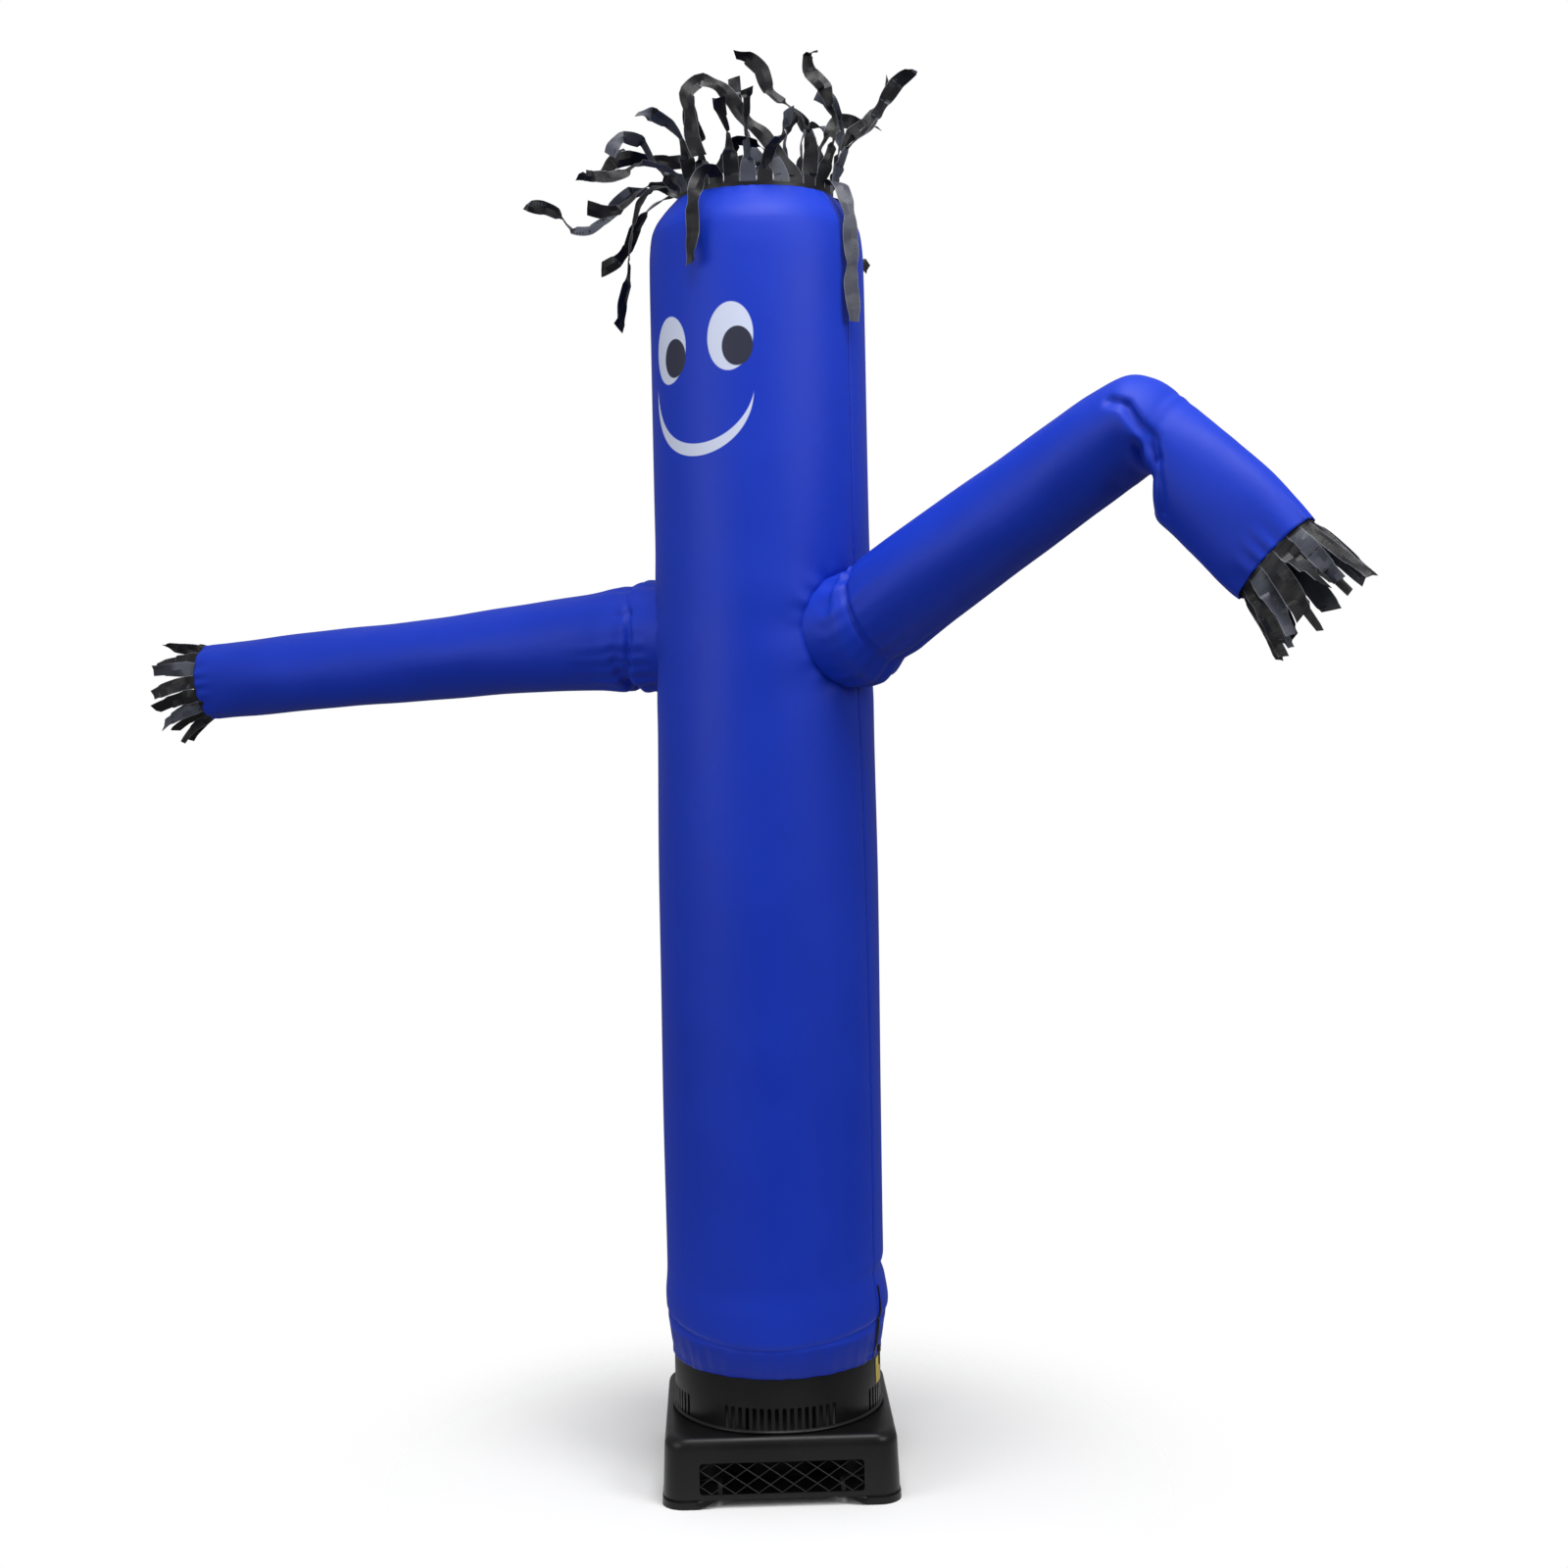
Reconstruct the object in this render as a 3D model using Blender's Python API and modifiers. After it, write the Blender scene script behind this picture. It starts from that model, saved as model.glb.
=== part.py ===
"""Inflatable air dancer on its blower: a hollow cloth tube with two sleeves, hair and hand fringes.

Metres, +Z up, the blower square to X and Y, the origin on the floor under the middle of the blower.
A bearing is an angle around the upright axis: 0 faces the front (-Y), +90 faces +X.
"""
import math

import bmesh
import bpy
from mathutils import Matrix, Vector

OBJECT_NAME = "air_dancer"
CLEARANCE = 0.0003

# Cloth tube: height and outer radius of each ring, from the hem to the mouth on top of the head.
CLOTH = 0.0017
TUBE_SIDES = 28
TUBE_RINGS = (
    # height, radius
    (0.250, 0.2195),
    (0.262, 0.2225),
    (0.285, 0.2300),
    (0.307, 0.2272),
    (0.325, 0.2310),
    (0.360, 0.2325),
    (0.430, 0.2290),
    (0.800, 0.2310),
    (1.200, 0.2315),
    (1.550, 0.2280),
    (1.970, 0.2245),
    (2.450, 0.2240),
    (2.550, 0.2222),
    (2.597, 0.2160),
    (2.630, 0.1935),
    (2.660, 0.1665),
)
SEAM_GAP = 0.0005
SEAM_LOW_DEG = 62.0
SEAM_TOP_DEG = 55.0
HEAD_TOP = TUBE_RINGS[-1][0]

# Armholes and sleeves. Each sleeve lies in one upright plane through the tube's axis.
ARMHOLE_HEIGHT = 1.752
ARMHOLE_RADIUS = 0.1165
ARMHOLE_CUT = (0.130, 0.300)
SLEEVE_SIDES = 20
SLEEVE_CLOTH = 0.0017
RIGHT_BEARING = 51.0
LEFT_BEARING = -119.0
RIGHT_SLEEVE = (
    # reach, height, facing_deg, half_width, up, down
    (0.180, 1.752, 0.0, 0.1165, 0.1165, 0.1165),
    (0.240, 1.752, 0.0, 0.1165, 0.1165, 0.1165),
    (0.266, 1.762, 9.0, 0.1240, 0.1200, 0.1270),
    (0.298, 1.783, 20.0, 0.1100, 0.1050, 0.1120),
    (0.338, 1.810, 27.0, 0.1110, 0.1080, 0.1100),
    (0.460, 1.877, 27.0, 0.1050, 0.1040, 0.1040),
    (0.620, 1.961, 27.0, 0.0980, 0.0970, 0.0970),
    (0.760, 2.036, 25.0, 0.0970, 0.0960, 0.0960),
    (0.839, 2.082, 17.0, 0.0970, 0.0935, 0.0935),
    (0.895, 2.113, 6.0, 0.0970, 0.0945, 0.0945),
    (0.925, 2.106, 1.5, 0.0940, 0.0937, 0.0937),
    (0.947, 2.069, -10.5, 0.0880, 0.1065, 0.1065),
    (0.961, 2.049, -18.0, 0.0820, 0.1115, 0.1115),
    (0.988, 2.026, -22.5, 0.0780, 0.1120, 0.1120),
    (1.034, 1.987, -26.0, 0.0700, 0.1130, 0.1130),
    (1.100, 1.920, -35.0, 0.0610, 0.1040, 0.1040),
    (1.173, 1.847, -44.0, 0.0520, 0.0965, 0.0965),
)
LEFT_SLEEVE = (
    # reach, height, facing_deg, half_width, up, down
    (0.180, 1.752, 0.0, 0.1165, 0.1165, 0.1165),
    (0.240, 1.752, 0.0, 0.1165, 0.1165, 0.1165),
    (0.263, 1.751, -1.0, 0.1240, 0.1230, 0.1240),
    (0.287, 1.750, -2.0, 0.1060, 0.1050, 0.1030),
    (0.315, 1.749, -3.6, 0.1120, 0.1130, 0.1120),
    (0.400, 1.744, -3.6, 0.1060, 0.1060, 0.1060),
    (0.600, 1.731, -3.6, 0.0980, 0.0980, 0.0980),
    (0.850, 1.715, -3.6, 0.0945, 0.0945, 0.0945),
    (1.120, 1.698, -3.6, 0.0910, 0.0910, 0.0910),
    (1.350, 1.684, -3.6, 0.0895, 0.0895, 0.0895),
    (1.515, 1.673, -3.6, 0.0885, 0.0885, 0.0885),
)

# Fringes: a narrow band inside each rim, cut into strips that stand apart beyond it.
BAND_THICKNESS = 0.0015
BAND_INSET = 0.0034
BAND_INSIDE = 0.012
BAND_OUTSIDE = 0.006
STRIP_SHARE = 0.76
RIBBON_THICKNESS = 0.0015
TIP_SHARE = 0.70
TAPER_START = 0.6
SPLAY_AT_ROOT = 0.4
HAIR_STEPS = 9
HAND_STEPS = 5
HAIR_BAND_LOW = 2.650
HAIR_BAND_TOP = 2.672
HAIR_BAND_RADIUS = 0.1638
HAIR_RISE = 0.010
HAIR_START_DEG = -174.0
# One ribbon every 12 degrees of bearing from the start; each bends through five lifts above the horizon.
HAIR = (
    # heading_deg, sway_deg, length, lift_0, lift_1, lift_2, lift_3, lift_4, twist_deg
    (178.0, 20.0, 0.28, 85.0, 60.0, 20.0, -25.0, -50.0, 60.0),
    (-98.0, -25.0, 0.33, 62.0, 50.0, 10.0, 5.0, 50.0, 100.0),
    (-150.0, -10.0, 0.30, 80.0, 30.0, -10.0, -50.0, -20.0, 80.0),
    (-112.0, -15.0, 0.33, 40.0, -10.0, -50.0, -55.0, 5.0, 80.0),
    (-97.0, -12.0, 0.44, 40.0, -5.0, -52.0, 42.0, 12.0, 150.0),
    (-90.0, 4.0, 0.24, 70.0, 20.0, -40.0, -30.0, 20.0, -90.0),
    (-101.0, 4.0, 0.38, 45.0, -58.0, -86.0, -80.0, -72.0, 60.0),
    (-80.0, 20.0, 0.27, 70.0, 45.0, -10.0, -40.0, -5.0, 120.0),
    (-82.0, 20.0, 0.22, 60.0, 42.0, 55.0, 20.0, -75.0, 90.0),
    (-74.0, 24.0, 0.25, 60.0, 15.0, -28.0, -20.0, 10.0, -80.0),
    (-58.0, 25.0, 0.22, 85.0, 70.0, 45.0, 10.0, -20.0, 90.0),
    (-44.0, 30.0, 0.18, 88.0, 75.0, 60.0, 70.0, 60.0, 120.0),
    (-38.0, 0.0, 0.25, 45.0, -50.0, -82.0, -84.0, -86.0, 20.0),
    (-30.0, 20.0, 0.20, 88.0, 80.0, 65.0, 30.0, -10.0, 80.0),
    (-8.0, 10.0, 0.17, 88.0, 70.0, 85.0, 70.0, 60.0, -70.0),
    (40.0, -20.0, 0.17, 85.0, 60.0, 30.0, 20.0, 10.0, 60.0),
    (-97.0, -4.0, 0.22, 80.0, 60.0, 10.0, -50.0, -66.0, 90.0),
    (-80.0, 12.0, 0.37, 66.0, 60.0, 54.0, -30.0, -92.0, 90.0),
    (-92.0, -10.0, 0.33, 95.0, 88.0, 34.0, 66.0, 24.0, -100.0),
    (80.0, -15.0, 0.35, 68.0, 78.0, 112.0, 128.0, 4.0, 110.0),
    (66.0, 2.0, 0.39, 45.0, -54.0, -87.0, -90.0, -86.0, -30.0),
    (86.0, -10.0, 0.30, 72.0, 62.0, 64.0, 58.0, 54.0, 100.0),
    (98.0, 15.0, 0.23, 80.0, 74.0, 90.0, 126.0, 170.0, 80.0),
    (100.0, 20.0, 0.31, 86.0, 84.0, 40.0, 62.0, 100.0, -120.0),
    (114.0, 0.0, 0.19, 40.0, -40.0, -74.0, -66.0, -50.0, 60.0),
    (110.0, 20.0, 0.31, 88.0, 82.0, 50.0, 4.0, -14.0, 120.0),
    (124.0, 15.0, 0.30, 96.0, 98.0, 70.0, -10.0, -24.0, 80.0),
    (110.0, 30.0, 0.34, 96.0, 98.0, 88.0, -30.0, -78.0, -90.0),
    (-98.0, -20.0, 0.31, 72.0, 66.0, 68.0, 76.0, 78.0, 160.0),
    (170.0, 20.0, 0.24, 88.0, 70.0, 50.0, 0.0, -30.0, -60.0),
)
# Hand strips run round the cuff from its top, over the side seen from the front.
HAND_STRIPS = 16
RIGHT_STRIPS = (
    # splay_deg, droop_deg, length, twist_deg
    (4.0, 10.0, 0.130, 40.0),
    (14.0, 4.0, 0.150, -30.0),
    (8.0, 16.0, 0.120, 50.0),
    (20.0, 8.0, 0.115, -60.0),
    (16.0, 24.0, 0.125, 30.0),
    (8.0, 34.0, 0.130, -50.0),
    (14.0, 20.0, 0.120, 40.0),
    (4.0, 30.0, 0.135, -30.0),
    (10.0, 36.0, 0.130, 60.0),
    (2.0, 22.0, 0.120, -40.0),
    (12.0, 30.0, 0.110, 50.0),
    (6.0, 14.0, 0.125, -60.0),
    (14.0, 22.0, 0.115, 30.0),
    (8.0, 8.0, 0.120, -50.0),
    (16.0, 14.0, 0.125, 40.0),
    (6.0, 2.0, 0.140, -30.0),
)
LEFT_STRIPS = (
    # splay_deg, droop_deg, length, twist_deg
    (10.0, 4.0, 0.110, 60.0),
    (22.0, 16.0, 0.120, -50.0),
    (14.0, 8.0, 0.130, 40.0),
    (6.0, 22.0, 0.115, -60.0),
    (12.0, 10.0, 0.120, 50.0),
    (4.0, 34.0, 0.115, -40.0),
    (14.0, 24.0, 0.120, 60.0),
    (8.0, 44.0, 0.125, -30.0),
    (16.0, 38.0, 0.120, 50.0),
    (4.0, 30.0, 0.110, -60.0),
    (12.0, 24.0, 0.120, 40.0),
    (18.0, 12.0, 0.115, -50.0),
    (8.0, 20.0, 0.125, 30.0),
    (16.0, 6.0, 0.115, -40.0),
    (6.0, 14.0, 0.120, 50.0),
    (16.0, 2.0, 0.110, -60.0),
)

# Zip beside the right seam at the hem, with its slider and pull.
ZIP_BEARING = 64.7
ZIP_WIDTH = 0.008
ZIP_TOP = 0.400
ZIP_THICKNESS = 0.0012
SLIDER_SIZE = (0.009, 0.0045, 0.014)
SLIDER_HEIGHT = 0.262
SLIDER_SEAT = 0.0004
PULL_SIZE = (0.006, 0.0014, 0.026)
STICKER_LOW = 0.196
STICKER_TOP = 0.246
STICKER_WIDTH = 0.013
STICKER_THICKNESS = 0.001

# Drum: the round collar that the cloth is strapped over, with four groups of upright slots.
DRUM_RADIUS = 0.2160
DRUM_WALL = 0.0030
DRUM_HEIGHTS = (0.118, 0.147, 0.193, 0.310)
SLOTS = 16
SLOT_PITCH_DEG = 4.04
SLOT_DEG = 2.20
BLANK_COLUMNS = 3

# Base housing: a rounded square box with a window on each side.
BASE_WALL = 0.0030
BASE_SECTIONS = (
    # height, half_side, corner_radius
    (0.017, 0.2390, 0.046),
    (0.028, 0.2386, 0.046),
    (0.090, 0.2362, 0.045),
    (0.122, 0.2350, 0.044),
    (0.133, 0.2325, 0.043),
    (0.138, 0.2272, 0.040),
)
CORNER_STEPS = 4
WINDOW_HALF = 0.165
WINDOW_COLUMNS = 3
WINDOW_SECTION = 1
BASE_HOLE_RADIUS = 0.2182
BASE_HOLE_HEIGHT = 0.1365
FOOT_SIZE = 0.115
FOOT_HEIGHT = 0.0167
FOOT_REACH = 0.2410
FOOT_CORNER_SEGMENTS = 4
PLATE_HALF = 0.2354
PLATE_ARM_HALF = 0.120
PLATE_LOW = 0.0170
PLATE_THICKNESS = 0.0030
GRILLE_SIZE = (0.350, 0.074)
GRILLE_THICKNESS = 0.0025
GRILLE_GAP = 0.0006
DIAMOND_PITCH = (0.0470, 0.0315)
DIAMOND_RIB = 0.0050
DIAMOND_ROWS = 2
DIAMOND_COLUMNS = 7
DIAMOND_CUT = 0.010

BLUE = (0.012, 0.045, 0.46, 1.0)
BLACK_CLOTH = (0.012, 0.012, 0.016, 1.0)
BLACK_PLASTIC = (0.010, 0.010, 0.011, 1.0)
YELLOW = (0.60, 0.48, 0.09, 1.0)


def clear_scene():
    """Remove every object, so the script always starts from nothing."""
    for old in list(bpy.data.objects):
        bpy.data.objects.remove(old, do_unlink=True)


def make_material(name, colour, roughness):
    """A Principled material in the piece's own colour."""
    material = bpy.data.materials.new(name)
    material.use_nodes = True
    shader = material.node_tree.nodes["Principled BSDF"]
    shader.inputs["Base Color"].default_value = colour
    shader.inputs["Roughness"].default_value = roughness
    shader.inputs["Metallic"].default_value = 0.0
    return material


def add_mesh(name, points, faces, material, collection):
    """Put a named mesh object into the collection."""
    mesh = bpy.data.meshes.new(name)
    mesh.from_pydata([tuple(point) for point in points], [], faces)
    mesh.update()
    mesh.materials.append(material)
    piece = bpy.data.objects.new(name, mesh)
    collection.objects.link(piece)
    return piece


def smooth(piece, angle=40.0):
    """Shade a round piece smooth, sharp past the angle."""
    piece.data.shade_smooth()
    piece.data.set_sharp_from_angle(angle=math.radians(angle))


def solidify(piece, thickness):
    """Give an open surface its wall, inwards from the face seen outside."""
    wall = piece.modifiers.new("wall", "SOLIDIFY")
    wall.thickness = thickness
    wall.offset = -1.0
    wall.use_even_offset = True


def on_bearing(bearing_deg, radius, height):
    """A point at a bearing, a distance from the upright axis and a height."""
    bearing = math.radians(bearing_deg)
    return Vector((radius * math.sin(bearing), -radius * math.cos(bearing), height))


def grid_faces(columns, rows, closed, skip=()):
    """Quads of a grid stored row by row; columns run anticlockwise seen from above."""
    faces = []
    spans = columns if closed else columns - 1
    for row in range(rows - 1):
        for column in range(spans):
            if (column, row) in skip:
                continue
            beside = (column + 1) % columns
            low, high = row * columns, (row + 1) * columns
            faces.append((low + column, low + beside, high + beside, high + column))
    return faces


def seam_bearing(height):
    """The right seam's bearing at a height; the cloth winds slightly as it rises."""
    share = (height - TUBE_RINGS[0][0]) / (HEAD_TOP - TUBE_RINGS[0][0])
    return SEAM_LOW_DEG + (SEAM_TOP_DEG - SEAM_LOW_DEG) * share


def tube_radius(height):
    """The tube's outer radius at its edges, read between its rings."""
    for (low, wide), (high, narrow) in zip(TUBE_RINGS, TUBE_RINGS[1:]):
        if low <= height <= high:
            return wide + (narrow - wide) * (height - low) / (high - low)
    return TUBE_RINGS[0][1]


def facet_radius(height, bearing_deg):
    """The distance from the axis to the tube's flat facet at a bearing."""
    half = 180.0 / TUBE_SIDES
    from_seam = (bearing_deg - seam_bearing(height)) % (2.0 * half)
    return tube_radius(height) * math.cos(math.radians(half)) / math.cos(math.radians(from_seam - half))


def body_panel(name, start_offset, material, collection, cutters):
    """Half of the tube, from one side seam to the other, with half of each armhole cut out."""
    spans = TUBE_SIDES // 2
    points = []
    for height, radius in TUBE_RINGS:
        edge_gap = math.degrees(SEAM_GAP / 2.0 / radius)
        start = seam_bearing(height) + start_offset
        for column in range(spans + 1):
            bearing = start + 180.0 * column / spans
            if column == 0:
                bearing += edge_gap
            if column == spans:
                bearing -= edge_gap
            points.append(on_bearing(bearing, radius, height))
    piece = add_mesh(name, points, grid_faces(spans + 1, len(TUBE_RINGS), False), material, collection)
    solidify(piece, CLOTH)
    for cutter in cutters:
        cut = piece.modifiers.new("armhole", "BOOLEAN")
        cut.operation = "DIFFERENCE"
        cut.object = cutter
    smooth(piece)
    return piece


def armhole_cutter(name, bearing_deg, collection):
    """A round bar on the armhole's axis, aligned with the sleeve's sides."""
    shape = bmesh.new()
    inner = ARMHOLE_RADIUS + CLEARANCE / math.cos(math.pi / SLEEVE_SIDES)
    rings = []
    for reach in ARMHOLE_CUT:
        rings.append([shape.verts.new(sleeve_point(bearing_deg, (reach, ARMHOLE_HEIGHT, 0.0, inner, inner, inner),
                                                   360.0 * side / SLEEVE_SIDES)) for side in range(SLEEVE_SIDES)])
    for side in range(SLEEVE_SIDES):
        beside = (side + 1) % SLEEVE_SIDES
        shape.faces.new((rings[0][side], rings[0][beside], rings[1][beside], rings[1][side]))
    shape.faces.new(rings[0])
    shape.faces.new(rings[1])
    bmesh.ops.recalc_face_normals(shape, faces=shape.faces)
    mesh = bpy.data.meshes.new(name)
    shape.to_mesh(mesh)
    shape.free()
    cutter = bpy.data.objects.new(name, mesh)
    cutter.hide_render = True
    cutter.display_type = "WIRE"
    collection.objects.link(cutter)
    return cutter


def sleeve_frame(bearing_deg, facing_deg):
    """Directions of a sleeve section: outwards along the sleeve, up across it, and level across it."""
    out = on_bearing(bearing_deg, 1.0, 0.0)
    facing = math.radians(facing_deg)
    along = out * math.cos(facing) + Vector((0.0, 0.0, math.sin(facing)))
    upward = out * -math.sin(facing) + Vector((0.0, 0.0, math.cos(facing)))
    return along, upward, along.cross(upward)


def sleeve_point(bearing_deg, section, turn_deg, inset=0.0):
    """A point on a sleeve section, turned from its top; the upper and lower halves are unlike ellipses."""
    reach, height, facing_deg, half_width, up, down = section
    along, upward, level = sleeve_frame(bearing_deg, facing_deg)
    turn = math.radians(turn_deg)
    tall = up if math.cos(turn) >= 0.0 else down
    centre = on_bearing(bearing_deg, reach, height)
    return centre + upward * (tall - inset) * math.cos(turn) + level * (half_width - inset) * math.sin(turn)


def sleeve(name, bearing_deg, sections, material, collection):
    """A sleeve swept through its sections, open at the armhole and at the cuff."""
    points = []
    for section in sections:
        for side in range(SLEEVE_SIDES):
            points.append(sleeve_point(bearing_deg, section, 360.0 * side / SLEEVE_SIDES))
    piece = add_mesh(name, points, grid_faces(SLEEVE_SIDES, len(sections), True), material, collection)
    solidify(piece, SLEEVE_CLOTH)
    smooth(piece, 50.0)
    return piece


def blend_lift(lifts, share):
    """The lift at a share of the ribbon's length, eased between the five given ones."""
    place = share * (len(lifts) - 1)
    index = min(int(place), len(lifts) - 2)
    ease = place - index
    ease = ease * ease * (3.0 - 2.0 * ease)
    return lifts[index] + (lifts[index + 1] - lifts[index]) * ease


def ribbon_sections(root, width_way, directions, length, width, twist_deg):
    """Four-cornered sections of a flat ribbon that follows the directions and twists evenly."""
    sections = []
    centre = root.copy()
    across = width_way.copy()
    step = length / len(directions)
    for index, way in enumerate(directions):
        centre = centre + way * step
        across = (across - way * across.dot(way)).normalized()
        across = Matrix.Rotation(math.radians(twist_deg / len(directions)), 3, way) @ across
        share = (index + 1) / len(directions)
        narrow = 1.0 - (1.0 - TIP_SHARE) * max(0.0, share - TAPER_START) / (1.0 - TAPER_START)
        half = across * (width * narrow / 2.0)
        thick = way.cross(across) * (RIBBON_THICKNESS / 2.0)
        sections.append((centre - half - thick, centre + half - thick, centre + half + thick, centre - half + thick))
    return sections


def fringe(name, rim, strips, material, collection):
    """A band of four-cornered columns whose outer edge grows into strips.

    rim holds for each column edge its points: outer low, inner low, outer high, inner high.
    strips maps a column to the sections of the strip that grows from it.
    """
    points = [point for edge in rim for point in edge]
    count = len(rim)
    faces = []
    for column in range(count):
        a, b = 4 * column, 4 * ((column + 1) % count)
        faces.append((a, b, b + 2, a + 2))
        faces.append((a + 1, a + 3, b + 3, b + 1))
        faces.append((a, a + 1, b + 1, b))
        if column not in strips:
            faces.append((a + 2, b + 2, b + 3, a + 3))
            continue
        last = (a + 2, b + 2, b + 3, a + 3)
        for section in strips[column]:
            base = len(points)
            points.extend(section)
            ring = (base, base + 1, base + 2, base + 3)
            faces.append((last[0], last[1], ring[0]))
            faces.append((last[1], ring[1], ring[0]))
            faces.append((last[1], last[2], ring[2], ring[1]))
            faces.append((last[2], last[3], ring[3]))
            faces.append((last[2], ring[3], ring[2]))
            faces.append((last[3], last[0], ring[0], ring[3]))
            last = ring
        faces.append(last)
    piece = add_mesh(name, points, faces, material, collection)
    shape = bmesh.new()
    shape.from_mesh(piece.data)
    bmesh.ops.recalc_face_normals(shape, faces=shape.faces)
    shape.to_mesh(piece.data)
    shape.free()
    return piece


def column_edges(strip_count):
    """Turns, in degrees, of the band's column edges: a strip, then a narrow gap, and so on."""
    pitch = 360.0 / strip_count
    edges = []
    for strip in range(strip_count):
        middle = strip * pitch
        edges.append(middle - pitch * STRIP_SHARE / 2.0)
        edges.append(middle + pitch * STRIP_SHARE / 2.0)
    return edges


def hair_fringe(material, collection):
    """The hair: a band inside the head's mouth and a ribbon for each row of the table."""
    rim = []
    turns = [HAIR_START_DEG + edge for edge in column_edges(len(HAIR))]
    for turn in turns:
        for height in (HAIR_BAND_LOW, HAIR_BAND_TOP):
            rim.append(on_bearing(turn, HAIR_BAND_RADIUS, height))
            rim.append(on_bearing(turn, HAIR_BAND_RADIUS - BAND_THICKNESS, height))
    rim = [rim[index:index + 4] for index in range(0, len(rim), 4)]
    strips = {}
    width = math.radians(360.0 / len(HAIR) * STRIP_SHARE) * HAIR_BAND_RADIUS
    for index, row in enumerate(HAIR):
        heading, sway, length, lift_0, lift_1, lift_2, lift_3, lift_4, twist = row
        lifts = (lift_0, lift_1, lift_2, lift_3, lift_4)
        bearing = HAIR_START_DEG + 360.0 * index / len(HAIR)
        root = on_bearing(bearing, HAIR_BAND_RADIUS - BAND_THICKNESS / 2.0, HAIR_BAND_TOP + HAIR_RISE)
        tangent = on_bearing(bearing + 90.0, 1.0, 0.0)
        inward = on_bearing(bearing, 1.0, 0.0) * -(RIBBON_THICKNESS / 2.0)
        first = [root - tangent * width / 2.0 - inward, root + tangent * width / 2.0 - inward,
                 root + tangent * width / 2.0 + inward, root - tangent * width / 2.0 + inward]
        ways = []
        for step in range(HAIR_STEPS):
            share = (step + 0.5) / HAIR_STEPS
            lift = math.radians(blend_lift(lifts, share))
            level = on_bearing(heading + sway * share, 1.0, 0.0)
            ways.append(level * math.cos(lift) + Vector((0.0, 0.0, math.sin(lift))))
        strips[2 * index] = [first] + ribbon_sections(root, tangent, ways, length, width, twist)
    return fringe("hair_fringe", rim, strips, material, collection)


def hand_fringe(name, bearing_deg, sections, rows, material, collection):
    """A hand: a band inside the cuff and a strip for each row of the table."""
    cuff = sections[-1]
    along, upward, level = sleeve_frame(bearing_deg, cuff[2])
    rim = []
    for turn in column_edges(HAND_STRIPS):
        outer = sleeve_point(bearing_deg, cuff, turn, BAND_INSET)
        inner = sleeve_point(bearing_deg, cuff, turn, BAND_INSET + BAND_THICKNESS)
        rim.append((outer - along * BAND_INSIDE, inner - along * BAND_INSIDE,
                    outer + along * BAND_OUTSIDE, inner + along * BAND_OUTSIDE))
    centre = on_bearing(bearing_deg, cuff[0], cuff[1])
    strips = {}
    for index, (splay, droop, length, twist) in enumerate(rows):
        edge_a, edge_b = rim[2 * index], rim[2 * index + 1]
        root = (edge_a[2] + edge_a[3] + edge_b[2] + edge_b[3]) / 4.0
        across = (edge_b[2] - edge_a[2]).normalized()
        width = (edge_b[2] - edge_a[2]).length
        away = root - centre
        away = (away - along * away.dot(along)).normalized()
        ways = []
        for step in range(HAND_STEPS):
            share = (step + 0.5) / HAND_STEPS
            lean = math.radians(splay * (SPLAY_AT_ROOT + (1.0 - SPLAY_AT_ROOT) * share))
            way = along * math.cos(lean) + away * math.sin(lean)
            fall = math.tan(math.radians(droop)) * share
            ways.append((way + Vector((0.0, 0.0, -fall))).normalized())
        strips[2 * index] = ribbon_sections(root, across, ways, length, width, twist)
    return fringe(name, rim, strips, material, collection)


def curved_plate(name, bearing_deg, width, heights, radius_at, thickness, material, collection):
    """A narrow upright plate that follows a wall, given the wall's radius at a height and bearing."""
    points = []
    for height in heights:
        for side in (-0.5, 0.5):
            bearing = bearing_deg + math.degrees(width * side / DRUM_RADIUS)
            points.append(on_bearing(bearing, radius_at(height, bearing) + thickness, height))
    piece = add_mesh(name, points, grid_faces(2, len(heights), False), material, collection)
    solidify(piece, thickness)
    return piece


def small_box(name, size, centre, bearing_deg, bevel, material, collection):
    """A small bevelled box turned to face a bearing."""
    bpy.ops.mesh.primitive_cube_add(size=1.0)
    piece = bpy.context.active_object
    piece.name = name
    piece.data.name = name
    piece.data.transform(Matrix.Diagonal((size[0], size[1], size[2], 1.0)))
    piece.location = centre
    piece.rotation_euler = (0.0, 0.0, math.radians(bearing_deg))
    edge = piece.modifiers.new("edges", "BEVEL")
    edge.width = bevel
    edge.segments = 1
    piece.data.materials.append(material)
    for holder in list(piece.users_collection):
        holder.objects.unlink(piece)
    collection.objects.link(piece)
    return piece


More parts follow.
